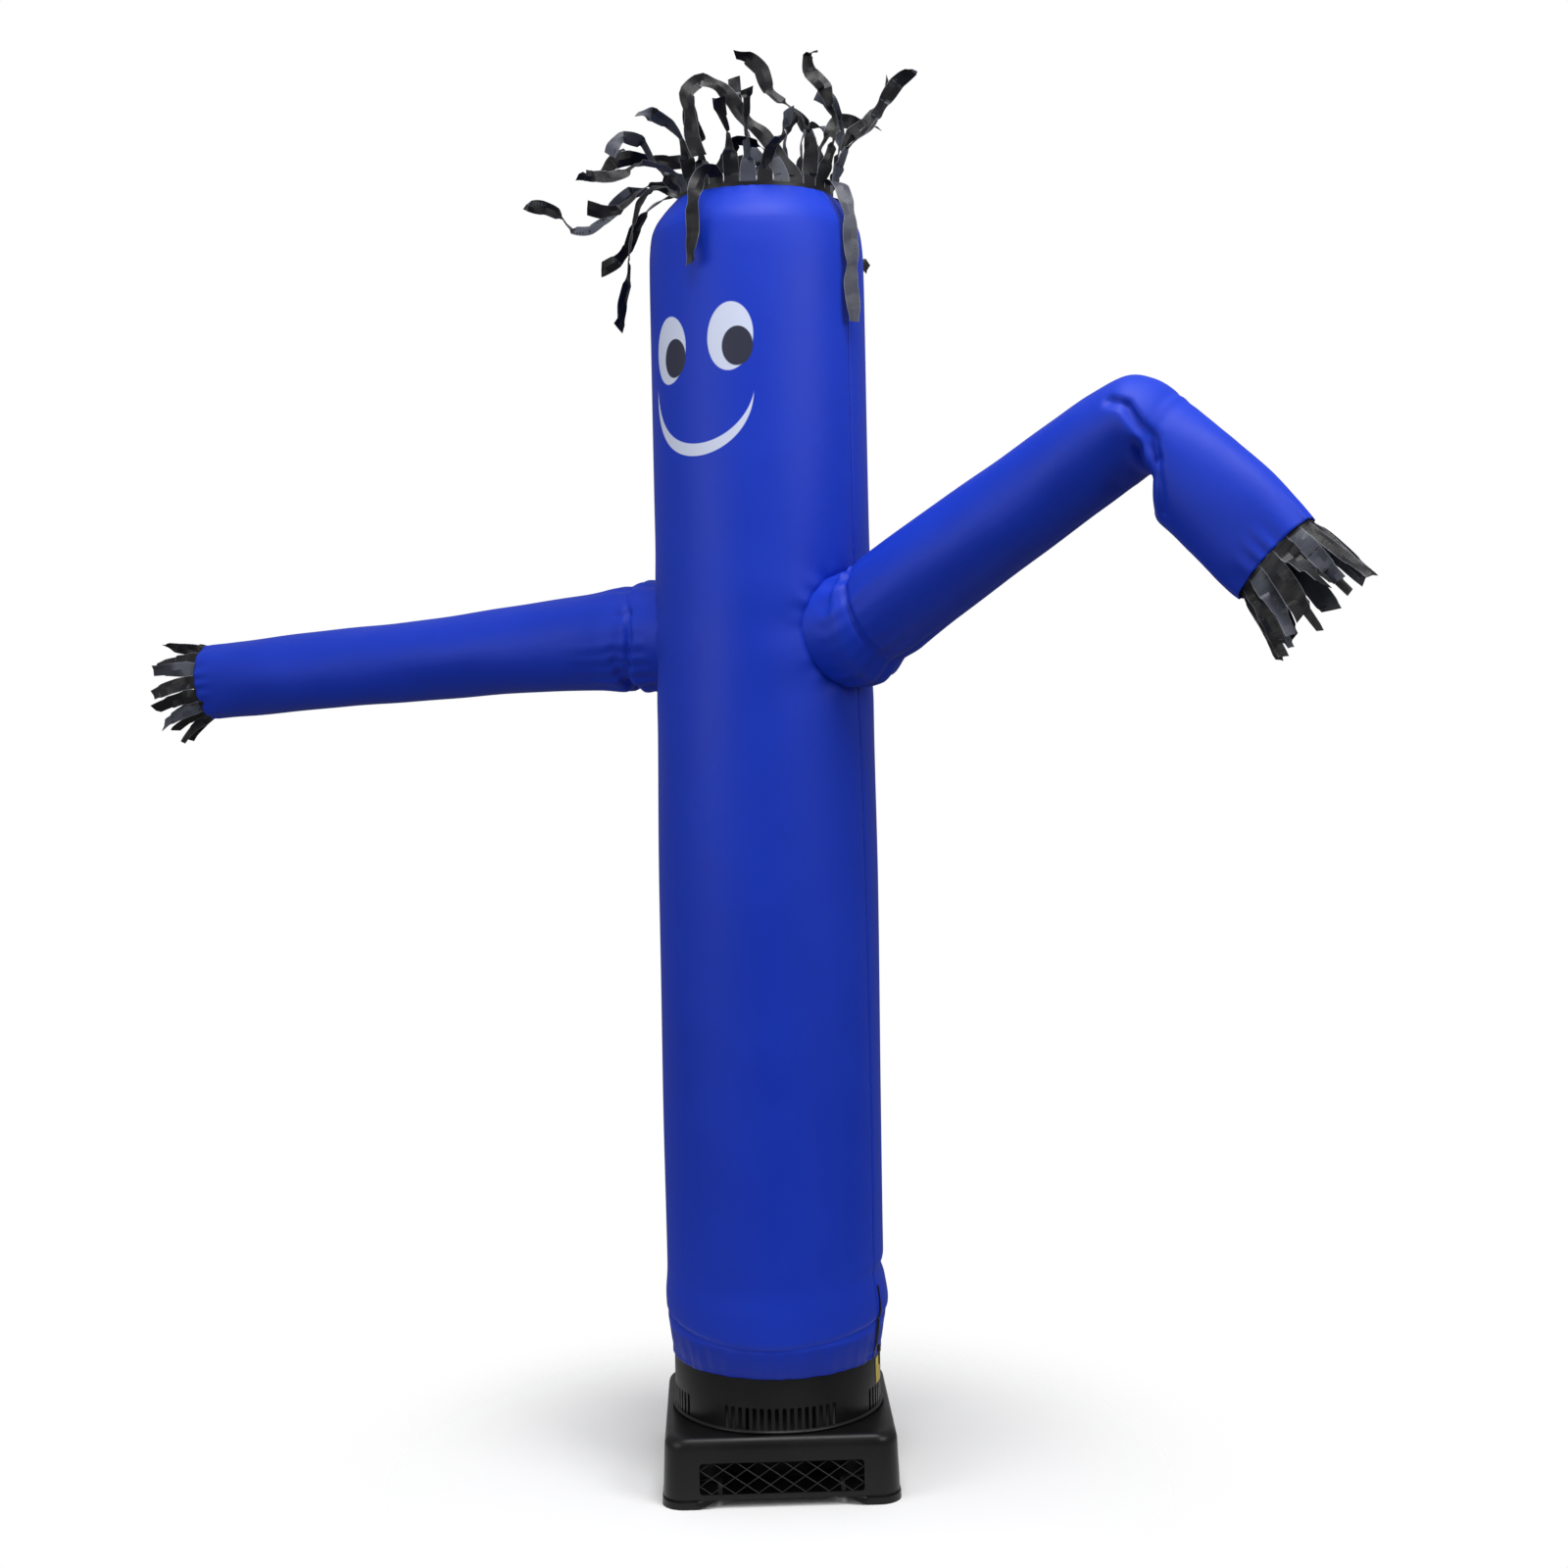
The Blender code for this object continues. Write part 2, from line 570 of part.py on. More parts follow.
def zip_pieces(material, collection):
    """The zip's tape along the wall, its slider near the hem and the pull that hangs from it."""
    heights = [SLIDER_HEIGHT] + [height for height, _ in TUBE_RINGS if SLIDER_HEIGHT < height < ZIP_TOP] + [ZIP_TOP]

    def outside(height, bearing):
        return facet_radius(height, bearing) + CLEARANCE

    curved_plate("zip_tape", ZIP_BEARING, ZIP_WIDTH, heights, outside, ZIP_THICKNESS, material, collection)
    slider_top = SLIDER_HEIGHT + SLIDER_SIZE[2]
    wall = outside(slider_top, ZIP_BEARING) + ZIP_THICKNESS + CLEARANCE
    slider_radius = wall + SLIDER_SEAT + SLIDER_SIZE[1] / 2.0
    slider_centre = on_bearing(ZIP_BEARING, slider_radius, SLIDER_HEIGHT + SLIDER_SIZE[2] / 2.0)
    small_box("zip_slider", SLIDER_SIZE, slider_centre, ZIP_BEARING, 0.001, material, collection)
    pull_top = SLIDER_HEIGHT - CLEARANCE
    pull_centre = on_bearing(ZIP_BEARING, slider_radius, pull_top - PULL_SIZE[2] / 2.0)
    small_box("zip_pull", PULL_SIZE, pull_centre, ZIP_BEARING, 0.0004, material, collection)


def drum_columns():
    """Bearings of the drum's columns and the numbers of those that are slots."""
    bearings = []
    slots = []
    for quarter in range(4):
        start = 90.0 * quarter - SLOT_PITCH_DEG * (SLOTS - 1) / 2.0 - SLOT_DEG / 2.0
        for slot in range(SLOTS):
            slots.append(len(bearings))
            bearings.append(start + SLOT_PITCH_DEG * slot)
            bearings.append(start + SLOT_PITCH_DEG * slot + SLOT_DEG)
        end = start + SLOT_PITCH_DEG * (SLOTS - 1) + SLOT_DEG
        blank = start + 90.0 - end
        for column in range(1, BLANK_COLUMNS):
            bearings.append(end + blank * column / BLANK_COLUMNS)
    return bearings, slots


def drum(material, collection):
    """The drum: an open cylinder whose slot cells are left out, given its wall inwards."""
    bearings, slots = drum_columns()
    points = [on_bearing(bearing, DRUM_RADIUS, height) for height in DRUM_HEIGHTS for bearing in bearings]
    skip = {(slot, 1) for slot in slots}
    faces = grid_faces(len(bearings), len(DRUM_HEIGHTS), True, skip)
    piece = add_mesh("drum", points, faces, material, collection)
    solidify(piece, DRUM_WALL)
    smooth(piece)
    return piece


def base_outline(half, corner):
    """Points round a rounded square, with columns at the windows' ends and through their middle."""
    outline = []
    inside = [WINDOW_HALF * share / WINDOW_COLUMNS for share in range(-WINDOW_COLUMNS, WINDOW_COLUMNS + 1)]
    straight = [-(half - corner)] + inside + [half - corner]
    for quarter in range(4):
        turn = Matrix.Rotation(math.radians(90.0 * quarter), 2)
        for place in straight:
            outline.append(turn @ Vector((place, -half)))
        for step in range(1, CORNER_STEPS):
            angle = math.radians(-90.0 + 90.0 * step / CORNER_STEPS)
            middle = Vector((half - corner, -(half - corner)))
            outline.append(turn @ (middle + Vector((math.cos(angle), math.sin(angle))) * corner))
    return outline


def base_housing(material, collection):
    """The base: lofted rounded squares, closed in to a round hole for the drum, with four windows."""
    points = []
    for height, half, corner in BASE_SECTIONS:
        points.extend([Vector((place.x, place.y, height)) for place in base_outline(half, corner)])
    top = base_outline(BASE_SECTIONS[-1][1], BASE_SECTIONS[-1][2])
    for place in top:
        rim = place.normalized() * BASE_HOLE_RADIUS
        points.append(Vector((rim.x, rim.y, BASE_HOLE_HEIGHT)))
    columns = len(top)
    side_columns = columns // 4
    skip = set()
    for quarter in range(4):
        for column in range(1, 2 * WINDOW_COLUMNS + 1):
            skip.add((quarter * side_columns + column, WINDOW_SECTION))
    faces = grid_faces(columns, len(BASE_SECTIONS) + 1, True, skip)
    piece = add_mesh("base_housing", points, faces, material, collection)
    solidify(piece, BASE_WALL)
    smooth(piece, 50.0)
    return piece


def base_plate(material, collection):
    """The plate under the base: a cross that reaches the four walls between the feet."""
    outline = []
    for quarter in range(4):
        turn = Matrix.Rotation(math.radians(90.0 * quarter), 2)
        for place in ((-PLATE_ARM_HALF, -PLATE_HALF), (PLATE_ARM_HALF, -PLATE_HALF), (PLATE_ARM_HALF, -PLATE_ARM_HALF)):
            outline.append(turn @ Vector(place))
    shape = bmesh.new()
    low = [shape.verts.new((place.x, place.y, PLATE_LOW)) for place in outline]
    high = [shape.verts.new((place.x, place.y, PLATE_LOW + PLATE_THICKNESS)) for place in outline]
    shape.faces.new(low[::-1])
    shape.faces.new(high)
    for corner in range(len(outline)):
        beside = (corner + 1) % len(outline)
        shape.faces.new((low[corner], low[beside], high[beside], high[corner]))
    mesh = bpy.data.meshes.new("base_plate")
    shape.to_mesh(mesh)
    shape.free()
    mesh.materials.append(material)
    piece = bpy.data.objects.new("base_plate", mesh)
    collection.objects.link(piece)
    return piece


def feet(material, collection):
    """Four flat corner blocks that lift the base off the ground."""
    for index, (side_x, side_y) in enumerate(((-1, -1), (1, -1), (1, 1), (-1, 1))):
        middle = FOOT_REACH - FOOT_SIZE / 2.0
        centre = (side_x * middle, side_y * middle, FOOT_HEIGHT / 2.0)
        block = small_box(f"foot_{index + 1}", (FOOT_SIZE, FOOT_SIZE, FOOT_HEIGHT), centre, 0.0, 0.003,
                          material, collection)
        corner = block.data.attributes.new("bevel_weight_edge", "FLOAT", "EDGE")
        for edge in block.data.edges:
            ends = [block.data.vertices[number].co for number in edge.vertices]
            upright = abs(ends[0].z - ends[1].z) > FOOT_HEIGHT / 2.0
            outer = ends[0].x * side_x > 0.0 and ends[0].y * side_y > 0.0
            corner.data[edge.index].value = 1.0 if upright and outer else 0.0
        rounding = block.modifiers["edges"]
        rounding.limit_method = "WEIGHT"
        rounding.width = BASE_SECTIONS[0][2]
        rounding.segments = FOOT_CORNER_SEGMENTS


def grille_mesh():
    """A thin plate, upright in X and Z, with rows of diamond holes cut through it."""
    shape = bmesh.new()
    bmesh.ops.create_cube(shape, size=1.0)
    bmesh.ops.scale(shape, vec=(GRILLE_SIZE[0], GRILLE_THICKNESS, GRILLE_SIZE[1]), verts=shape.verts)
    mesh = bpy.data.meshes.new("grille")
    shape.to_mesh(mesh)
    shape.free()
    return mesh


def diamond_cutter(collection):
    """All the diamonds of a grille as one cutter, each a short four-sided bar along Y."""
    shape = bmesh.new()
    half_wide = DIAMOND_PITCH[0] / 2.0 - DIAMOND_RIB / 2.0 / math.sin(math.atan2(DIAMOND_PITCH[1], DIAMOND_PITCH[0]))
    half_tall = half_wide * DIAMOND_PITCH[1] / DIAMOND_PITCH[0]
    places = []
    for row in range(2 * DIAMOND_ROWS - 1):
        odd = row % 2
        count = DIAMOND_COLUMNS - odd
        for column in range(count):
            places.append(((column - (count - 1) / 2.0) * DIAMOND_PITCH[0],
                           (row - (2 * DIAMOND_ROWS - 2) / 2.0) * DIAMOND_PITCH[1] / 2.0))
    for wide, tall in places:
        corners = ((-half_wide, 0.0), (0.0, -half_tall), (half_wide, 0.0), (0.0, half_tall))
        near = [shape.verts.new((wide + x, -DIAMOND_CUT, tall + z)) for x, z in corners]
        far = [shape.verts.new((wide + x, DIAMOND_CUT, tall + z)) for x, z in corners]
        shape.faces.new(near)
        shape.faces.new(far[::-1])
        for side in range(4):
            beside = (side + 1) % 4
            shape.faces.new((near[beside], near[side], far[side], far[beside]))
    bmesh.ops.recalc_face_normals(shape, faces=shape.faces)
    mesh = bpy.data.meshes.new("diamond_cutter")
    shape.to_mesh(mesh)
    shape.free()
    cutter = bpy.data.objects.new("diamond_cutter", mesh)
    cutter.hide_render = True
    cutter.display_type = "WIRE"
    collection.objects.link(cutter)
    return cutter


def grilles(material, collection, cutter_collection):
    """A grille behind each window, leaning with the wall."""
    low, high = BASE_SECTIONS[WINDOW_SECTION], BASE_SECTIONS[WINDOW_SECTION + 1]
    lean = math.atan2(low[1] - high[1], high[0] - low[0])
    middle_height = (low[0] + high[0]) / 2.0
    face = (low[1] + high[1]) / 2.0 - BASE_WALL / math.cos(lean) - GRILLE_GAP
    cutter = diamond_cutter(cutter_collection)
    plate = bpy.data.objects.new("grille_plate", grille_mesh())
    cutter_collection.objects.link(plate)
    cut = plate.modifiers.new("diamonds", "BOOLEAN")
    cut.operation = "DIFFERENCE"
    cut.object = cutter
    depsgraph = bpy.context.evaluated_depsgraph_get()
    mesh = bpy.data.meshes.new_from_object(plate.evaluated_get(depsgraph))
    mesh.name = "grille_cut"
    mesh.materials.clear()
    mesh.materials.append(material)
    bpy.data.objects.remove(plate, do_unlink=True)
    for index, side in enumerate(("front", "right", "back", "left")):
        piece = bpy.data.objects.new(f"grille_{side}", mesh)
        turn = Matrix.Rotation(math.radians(90.0 * index), 4, "Z")
        place = Matrix.Translation((0.0, -(face - GRILLE_THICKNESS / 2.0), middle_height))
        piece.matrix_world = turn @ place @ Matrix.Rotation(-lean, 4, "X")
        collection.objects.link(piece)


def build():
    """Make every piece of the air dancer."""
    clear_scene()
    collection = bpy.data.collections.new(OBJECT_NAME)
    cutter_collection = bpy.data.collections.new("cutters")
    bpy.context.scene.collection.children.link(collection)
    bpy.context.scene.collection.children.link(cutter_collection)
    blue = make_material("blue_cloth", BLUE, 0.55)
    black_cloth = make_material("black_ribbon", BLACK_CLOTH, 0.5)
    plastic = make_material("black_plastic", BLACK_PLASTIC, 0.38)
    yellow = make_material("yellow_sticker", YELLOW, 0.5)

    cutters = [armhole_cutter("armhole_right", RIGHT_BEARING, cutter_collection),
               armhole_cutter("armhole_left", LEFT_BEARING, cutter_collection)]
    body_panel("body_front", -180.0, blue, collection, cutters)
    body_panel("body_back", 0.0, blue, collection, cutters)
    sleeve("sleeve_right", RIGHT_BEARING, RIGHT_SLEEVE, blue, collection)
    sleeve("sleeve_left", LEFT_BEARING, LEFT_SLEEVE, blue, collection)
    hair_fringe(black_cloth, collection)
    hand_fringe("fringe_right", RIGHT_BEARING, RIGHT_SLEEVE, RIGHT_STRIPS, black_cloth, collection)
    hand_fringe("fringe_left", LEFT_BEARING, LEFT_SLEEVE, LEFT_STRIPS, black_cloth, collection)
    zip_pieces(plastic, collection)

    def drum_outside(height, bearing):
        return DRUM_RADIUS + CLEARANCE

    curved_plate("sticker", ZIP_BEARING, STICKER_WIDTH, (STICKER_LOW, STICKER_TOP), drum_outside,
                 STICKER_THICKNESS, yellow, collection)
    drum(plastic, collection)
    base_housing(plastic, collection)
    base_plate(plastic, collection)
    feet(plastic, collection)
    grilles(plastic, collection, cutter_collection)


build()
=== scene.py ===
"""Inflatable air dancer strapped to its blower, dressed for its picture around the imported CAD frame.

Metres, +Z up, the blower square to X and Y. A bearing is an angle round the upright axis:
0 faces the front (-Y) and +90 faces +X.
"""

import math

import bpy
import numpy as np
from mathutils import Matrix, Vector


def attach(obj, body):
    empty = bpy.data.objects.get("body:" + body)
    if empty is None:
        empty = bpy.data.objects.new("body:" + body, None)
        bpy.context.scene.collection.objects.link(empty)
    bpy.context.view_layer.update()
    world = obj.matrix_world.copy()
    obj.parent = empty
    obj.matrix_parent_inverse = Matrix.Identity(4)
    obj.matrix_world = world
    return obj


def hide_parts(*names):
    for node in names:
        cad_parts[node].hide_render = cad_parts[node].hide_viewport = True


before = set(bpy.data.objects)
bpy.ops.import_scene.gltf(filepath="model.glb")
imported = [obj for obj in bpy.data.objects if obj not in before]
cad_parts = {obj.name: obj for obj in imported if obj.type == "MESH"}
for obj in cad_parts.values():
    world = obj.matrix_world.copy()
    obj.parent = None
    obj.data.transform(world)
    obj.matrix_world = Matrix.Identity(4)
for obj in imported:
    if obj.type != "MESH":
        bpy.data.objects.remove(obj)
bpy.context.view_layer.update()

# The picture is taken with a 50 mm lens from 4.6 m, level with the chest and rolled one degree,
# so that the upright figure seems to lean. The lens is shifted down to take in the blower.
VIEW_PLACE = Vector((-0.0872, -4.5894, 1.66))
VIEW_TURN = math.radians(-1.6)
VIEW_ROLL = math.radians(1.1)
VIEW_SHIFT = -0.06875
VIEW_LENS = 50.0
VIEW_FILM = 36.0

ahead = Vector((-math.sin(VIEW_TURN), math.cos(VIEW_TURN), 0.0))
aside = Vector((math.cos(VIEW_TURN), math.sin(VIEW_TURN), 0.0))
upright = Vector((0.0, 0.0, 1.0))
view_right = aside * math.cos(VIEW_ROLL) - upright * math.sin(VIEW_ROLL)
view_up = aside * math.sin(VIEW_ROLL) + upright * math.cos(VIEW_ROLL)
lens = bpy.data.cameras.new("picture")
lens.lens = VIEW_LENS
lens.sensor_width = VIEW_FILM
lens.shift_y = VIEW_SHIFT
camera = bpy.data.objects.new("picture", lens)
turned = Matrix((view_right, view_up, -ahead)).transposed().to_4x4()
camera.matrix_world = Matrix.Translation(VIEW_PLACE) @ turned
bpy.context.scene.collection.objects.link(camera)
bpy.context.scene.camera = camera
bpy.context.scene.view_settings.view_transform = "Standard"

# Soft studio light: large soft boxes on the right, on the left and overhead in front, in a white room
# that lights the figure less than it looks, and more from above than from below.
ROOM_LOW = 0.17
ROOM_HIGH = 0.50
ROOM_HORIZON = (0.3, -1.0)
SOFT_BOXES = (
    # name, place, aimed_at, side, watts
    ("light_right", (3.4, -3.2, 3.6), (0.0, 0.0, 1.5), 2.4, 100.0),
    ("light_left", (-3.8, -2.6, 2.4), (0.0, 0.0, 1.2), 2.6, 66.0),
    ("light_top", (0.3, -1.6, 5.4), (0.1, 0.0, 1.0), 2.4, 155.0),
)


def node(tree, kind, sockets=None, **settings):
    """One shader node with its own settings; each socket takes a value or another node's output."""
    made = tree.nodes.new("ShaderNode" + kind)
    for word, value in settings.items():
        setattr(made, word, value)
    for socket, value in (sockets or {}).items():
        if isinstance(value, bpy.types.NodeSocket):
            tree.links.new(value, made.inputs[socket])
        else:
            made.inputs[socket].default_value = value
    return made


for name, place, aimed_at, side, watts in SOFT_BOXES:
    lamp = bpy.data.lights.new(name, "AREA")
    lamp.shape = "SQUARE"
    lamp.size = side
    lamp.energy = watts
    holder = bpy.data.objects.new(name, lamp)
    holder.location = place
    holder.rotation_euler = (Vector(aimed_at) - Vector(place)).to_track_quat("-Z", "Y").to_euler()
    bpy.context.scene.collection.objects.link(holder)

room = bpy.data.worlds.new("white_room")
room.use_nodes = True
room.node_tree.nodes.clear()
seen = node(room.node_tree, "LightPath").outputs["Is Camera Ray"]
downward = node(room.node_tree, "SeparateXYZ", {0: node(room.node_tree, "NewGeometry").outputs["Incoming"]})
lit = node(room.node_tree, "MapRange", {"Value": downward.outputs[2], "From Min": ROOM_HORIZON[0],
                                        "From Max": ROOM_HORIZON[1], "To Min": ROOM_LOW, "To Max": ROOM_HIGH})
glow = node(room.node_tree, "MapRange", {"Value": seen, "To Min": lit.outputs[0], "To Max": 1.0})
wall = node(room.node_tree, "Background", {"Color": (1.0, 1.0, 1.0, 1.0), "Strength": glow.outputs[0]})
room_end = room.node_tree.nodes.new("ShaderNodeOutputWorld")
room.node_tree.links.new(wall.outputs[0], room_end.inputs[0])
bpy.context.scene.world = room

# The floor is a plain pale disc under the blower that fades out into the white room.
FLOOR_RADIUS = 3.0
FLOOR_FADE = (0.35, 1.05)
FLOOR_PAINT = (0.93, 0.93, 0.93, 1.0)
FLOOR_SHADE = (0.85, 0.85, 0.85, 1.0)
FLOOR_SIDES = 64


def material_of(name):
    """A new material with an empty tree but for its Principled shader and its output."""
    material = bpy.data.materials.new(name)
    material.use_nodes = True
    return material, material.node_tree, material.node_tree.nodes["Principled BSDF"]


def into(tree, output, shader, socket):
    """Join a node's output to a named socket of the shader."""
    tree.links.new(output, shader.inputs[socket])


def worked(tree, operation, *values):
    """The result of one Math node on the values."""
    return node(tree, "Math", dict(enumerate(values)), operation=operation).outputs[0]


def blended(tree, mask, first, second):
    """The first colour where the mask is 0 and the second where it is 1."""
    return node(tree, "Mix", {0: mask, 6: first, 7: second}, data_type="RGBA").outputs[2]


def ramp(tree, value, low, high, start=0.0, end=1.0):
    """Goes smoothly from start to end while the value goes from low to high."""
    sockets = {"Value": value, "From Min": low, "From Max": high, "To Min": start, "To Max": end}
    return node(tree, "MapRange", sockets, interpolation_type="SMOOTHSTEP").outputs[0]


def mesh_object(name, points, faces, material, smooth=True):
    """A mesh piece at the origin from arrays of points and faces."""
    mesh = bpy.data.meshes.new(name)
    mesh.from_pydata(np.asarray(points, float).reshape(-1, 3).tolist(), [], [list(face) for face in faces])
    mesh.update()
    mesh.materials.append(material)
    if smooth:
        mesh.shade_smooth()
    piece = bpy.data.objects.new(name, mesh)
    bpy.context.scene.collection.objects.link(piece)
    return piece


floor_paint, tree, shader = material_of("pale_floor")
place = node(tree, "TexCoord").outputs["Object"]
speck = node(tree, "TexNoise", {"Vector": place, "Scale": 60.0, "Detail": 2.0}).outputs["Fac"]
pale = blended(tree, ramp(tree, speck, 0.3, 0.7, 0.0, 0.02), FLOOR_PAINT, FLOOR_SHADE)
into(tree, pale, shader, "Base Color")
shader.inputs["Roughness"].default_value = 0.9
shader.inputs["Specular IOR Level"].default_value = 0.1
away = node(tree, "VectorMath", {0: place}, operation="LENGTH").outputs["Value"]
into(tree, ramp(tree, away, FLOOR_FADE[0], FLOOR_FADE[1], 1.0, 0.0), shader, "Alpha")
turns = np.linspace(0.0, 2.0 * np.pi, FLOOR_SIDES, endpoint=False)
rim = np.stack([FLOOR_RADIUS * np.cos(turns), FLOOR_RADIUS * np.sin(turns), 0.0 * turns], -1)
floor = mesh_object("floor", rim, [range(FLOOR_SIDES)], floor_paint, False)

# The blower's base is one black moulded box with rounded corners. Its walls taper, its shoulder turns
# in to the round hole that the drum stands in, and its lower edge runs down to a foot at each corner.
BASE_SECTIONS = (
    # height, half_side, corner_radius
    (0.0000, 0.2392, 0.0460),
    (0.0280, 0.2386, 0.0460),
    (0.0900, 0.2362, 0.0450),
    (0.1160, 0.2352, 0.0445),
    (0.1215, 0.2346, 0.0443),
    (0.1265, 0.2330, 0.0436),
    (0.1310, 0.2304, 0.0424),
    (0.1345, 0.2272, 0.0408),
    (0.1368, 0.2238, 0.0394),
    (0.1378, 0.2206, 0.0385),
)
BASE_HOLE = (0.2186, 0.1366)
BASE_WALL = 0.003
BASE_ARCH = 0.0178
ARCH_FROM = 0.172
ARCH_TO = 0.122
SIDE_STEPS = 56
CORNER_STEPS = 14
EDGE_SHARES = (0.0, 0.25, 0.50, 0.54, 0.60, 0.66, 1.0)
WALL_ROWS = (0.034, 0.110, 14)
DECK_ROWS = 8
FOOT_STEP = (
    # height, how_far_out
    (0.0000, 0.0022),
    (0.0140, 0.0018),
    (0.0151, -0.0016),
    (0.0168, -0.0016),
    (0.0185, 0.0000),
)
WINDOW_HALF = 0.165
WINDOW_HEIGHTS = (0.028, 0.090)
WINDOW_CORNER = 0.007
WINDOW_CORNER_STEPS = 6
WINDOW_CUT = (-0.27, -0.20)
MOULDED_EDGE = 35.0
PLASTIC_DARK = (0.0028, 0.0028, 0.0031, 1.0)
PLASTIC_PALE = (0.0056, 0.0056, 0.0060, 1.0)
PLASTIC_ROUGHNESS = (0.27, 0.37)
PLASTIC_GRAIN = 0.0011


def effect(name, inputs, outputs):
    """A node group with named sockets; gives the group and its input and output ends."""
    group = bpy.data.node_groups.new(name, "ShaderNodeTree")
    for label, kind, start in inputs:
        socket = group.interface.new_socket(label, in_out="INPUT", socket_type="NodeSocket" + kind)
        if start is not None:
            socket.default_value = start
    for label, kind in outputs:
        group.interface.new_socket(label, in_out="OUTPUT", socket_type="NodeSocket" + kind)
    return group, group.nodes.new("NodeGroupInput"), group.nodes.new("NodeGroupOutput")


def use(tree, group, **sockets):
    """A node group placed in a material, its sockets named with spaces as underscores."""
    made = tree.nodes.new("ShaderNodeGroup")
    made.node_tree = group
    for label, value in sockets.items():
        socket = made.inputs[label.replace("_", " ")]
        if isinstance(value, bpy.types.NodeSocket):
            tree.links.new(value, socket)
        else:
            socket.default_value = value
    return made


moulded_grain, ends_in, ends_out = effect(
    "moulded_grain",
    [("Place", "Vector", None), ("Grain", "Float", 0.001)],
    [("Height", "Float"), ("Cloud", "Float"), ("Dust", "Float")])
fine = worked(moulded_grain, "DIVIDE", 1.0, ends_in.outputs["Grain"])
pits = node(moulded_grain, "TexNoise", {"Vector": ends_in.outputs["Place"], "Scale": fine, "Detail": 2.0})
swell = node(moulded_grain, "TexNoise", {"Vector": ends_in.outputs["Place"], "Scale": 7.0, "Detail": 4.0})
dust = node(moulded_grain, "TexNoise", {"Vector": ends_in.outputs["Place"], "Scale": 240.0, "Detail": 3.0})
moulded_grain.links.new(pits.outputs["Fac"], ends_out.inputs["Height"])
moulded_grain.links.new(swell.outputs["Fac"], ends_out.inputs["Cloud"])
moulded_grain.links.new(ramp(moulded_grain, dust.outputs["Fac"], 0.60, 0.78), ends_out.inputs["Dust"])


def moulded(name, dark, pale, roughness, grain, bump):
    """Moulded plastic: two close colours in soft clouds, a fine pitted grain and a trace of dust."""
    material, tree, shader = material_of(name)
    place = node(tree, "TexCoord").outputs["Object"]
    look = use(tree, moulded_grain, Place=place, Grain=grain)
    cloud = ramp(tree, look.outputs["Cloud"], 0.35, 0.65)
    tint = blended(tree, cloud, dark, pale)
    grey = tuple(0.5 * value + 0.04 for value in pale[:3]) + (1.0,)
    dusted = worked(tree, "MULTIPLY", look.outputs["Dust"], 0.12)
    into(tree, blended(tree, dusted, tint, grey), shader, "Base Color")
    into(tree, ramp(tree, look.outputs["Cloud"], 0.3, 0.7, roughness[0], roughness[1]), shader, "Roughness")
    lift = node(tree, "Bump", {"Height": look.outputs["Height"], "Strength": bump, "Distance": grain * 0.25})
    into(tree, lift.outputs[0], shader, "Normal")
    shader.inputs["Specular IOR Level"].default_value = 0.25
    return material


black_plastic = moulded("black_plastic", PLASTIC_DARK, PLASTIC_PALE, PLASTIC_ROUGHNESS, PLASTIC_GRAIN, 0.35)


def grid_faces(rows, columns, closed):
    """Corners of each quad of a grid stored row by row, as an array [row, span, corner]."""
    spans = columns if closed else columns - 1
    row, column = np.meshgrid(np.arange(rows - 1), np.arange(spans), indexing="ij")
    beside = (column + 1) % columns
    low = row * columns
    high = low + columns
    return np.stack([low + column, low + beside, high + beside, high + column], -1)


def wall_of(piece, thickness):
    """Give an open surface its thickness, inwards."""
    made = piece.modifiers.new("wall", "SOLIDIFY")
    made.thickness = thickness
    made.offset = -1.0


def settled(piece):
    """Put the modifiers' result into the piece's own mesh."""
    bpy.context.view_layer.update()
    seen_now = piece.evaluated_get(bpy.context.evaluated_depsgraph_get())
    mesh = bpy.data.meshes.new_from_object(seen_now)
    piece.modifiers.clear()
    piece.data = mesh
    return piece


def sharpened(piece, degrees):
    """Shade a piece smooth except at the edges that turn by more than the angle."""
    piece.data.shade_smooth()
    piece.data.set_sharp_from_angle(angle=math.radians(degrees))
    return piece


def quarter_turned(x, y, quarter):
    """Coordinates turned by quarters round the upright axis."""
    turn = np.pi / 2.0 * quarter
    return x * np.cos(turn) - y * np.sin(turn), x * np.sin(turn) + y * np.cos(turn)


def base_outline(half, corner):
    """Rounded squares [row, column]: straight sides cut evenly, quarter circles at the corners."""
    half, corner = half[:, None], corner[:, None]
    straight = np.linspace(-1.0, 1.0, SIDE_STEPS + 1)[None, :]
    bend = np.radians(-90.0 + 90.0 * np.arange(1, CORNER_STEPS) / CORNER_STEPS)[None, :]
    reach = half - corner
    side_x = np.concatenate([straight * reach, reach + corner * np.cos(bend)], 1)
    side_y = np.concatenate([-half + 0.0 * straight, -reach + corner * np.sin(bend)], 1)
    turned_sides = [quarter_turned(side_x, side_y, quarter) for quarter in range(4)]
    return (np.concatenate([side[0] for side in turned_sides], 1),
            np.concatenate([side[1] for side in turned_sides], 1), side_x)


def eased_step(value):
    """0 below 0 and 1 above 1, with a smooth S between: 3t^2 - 2t^3."""
    share = np.clip(value, 0.0, 1.0)
    return share * share * (3.0 - 2.0 * share)


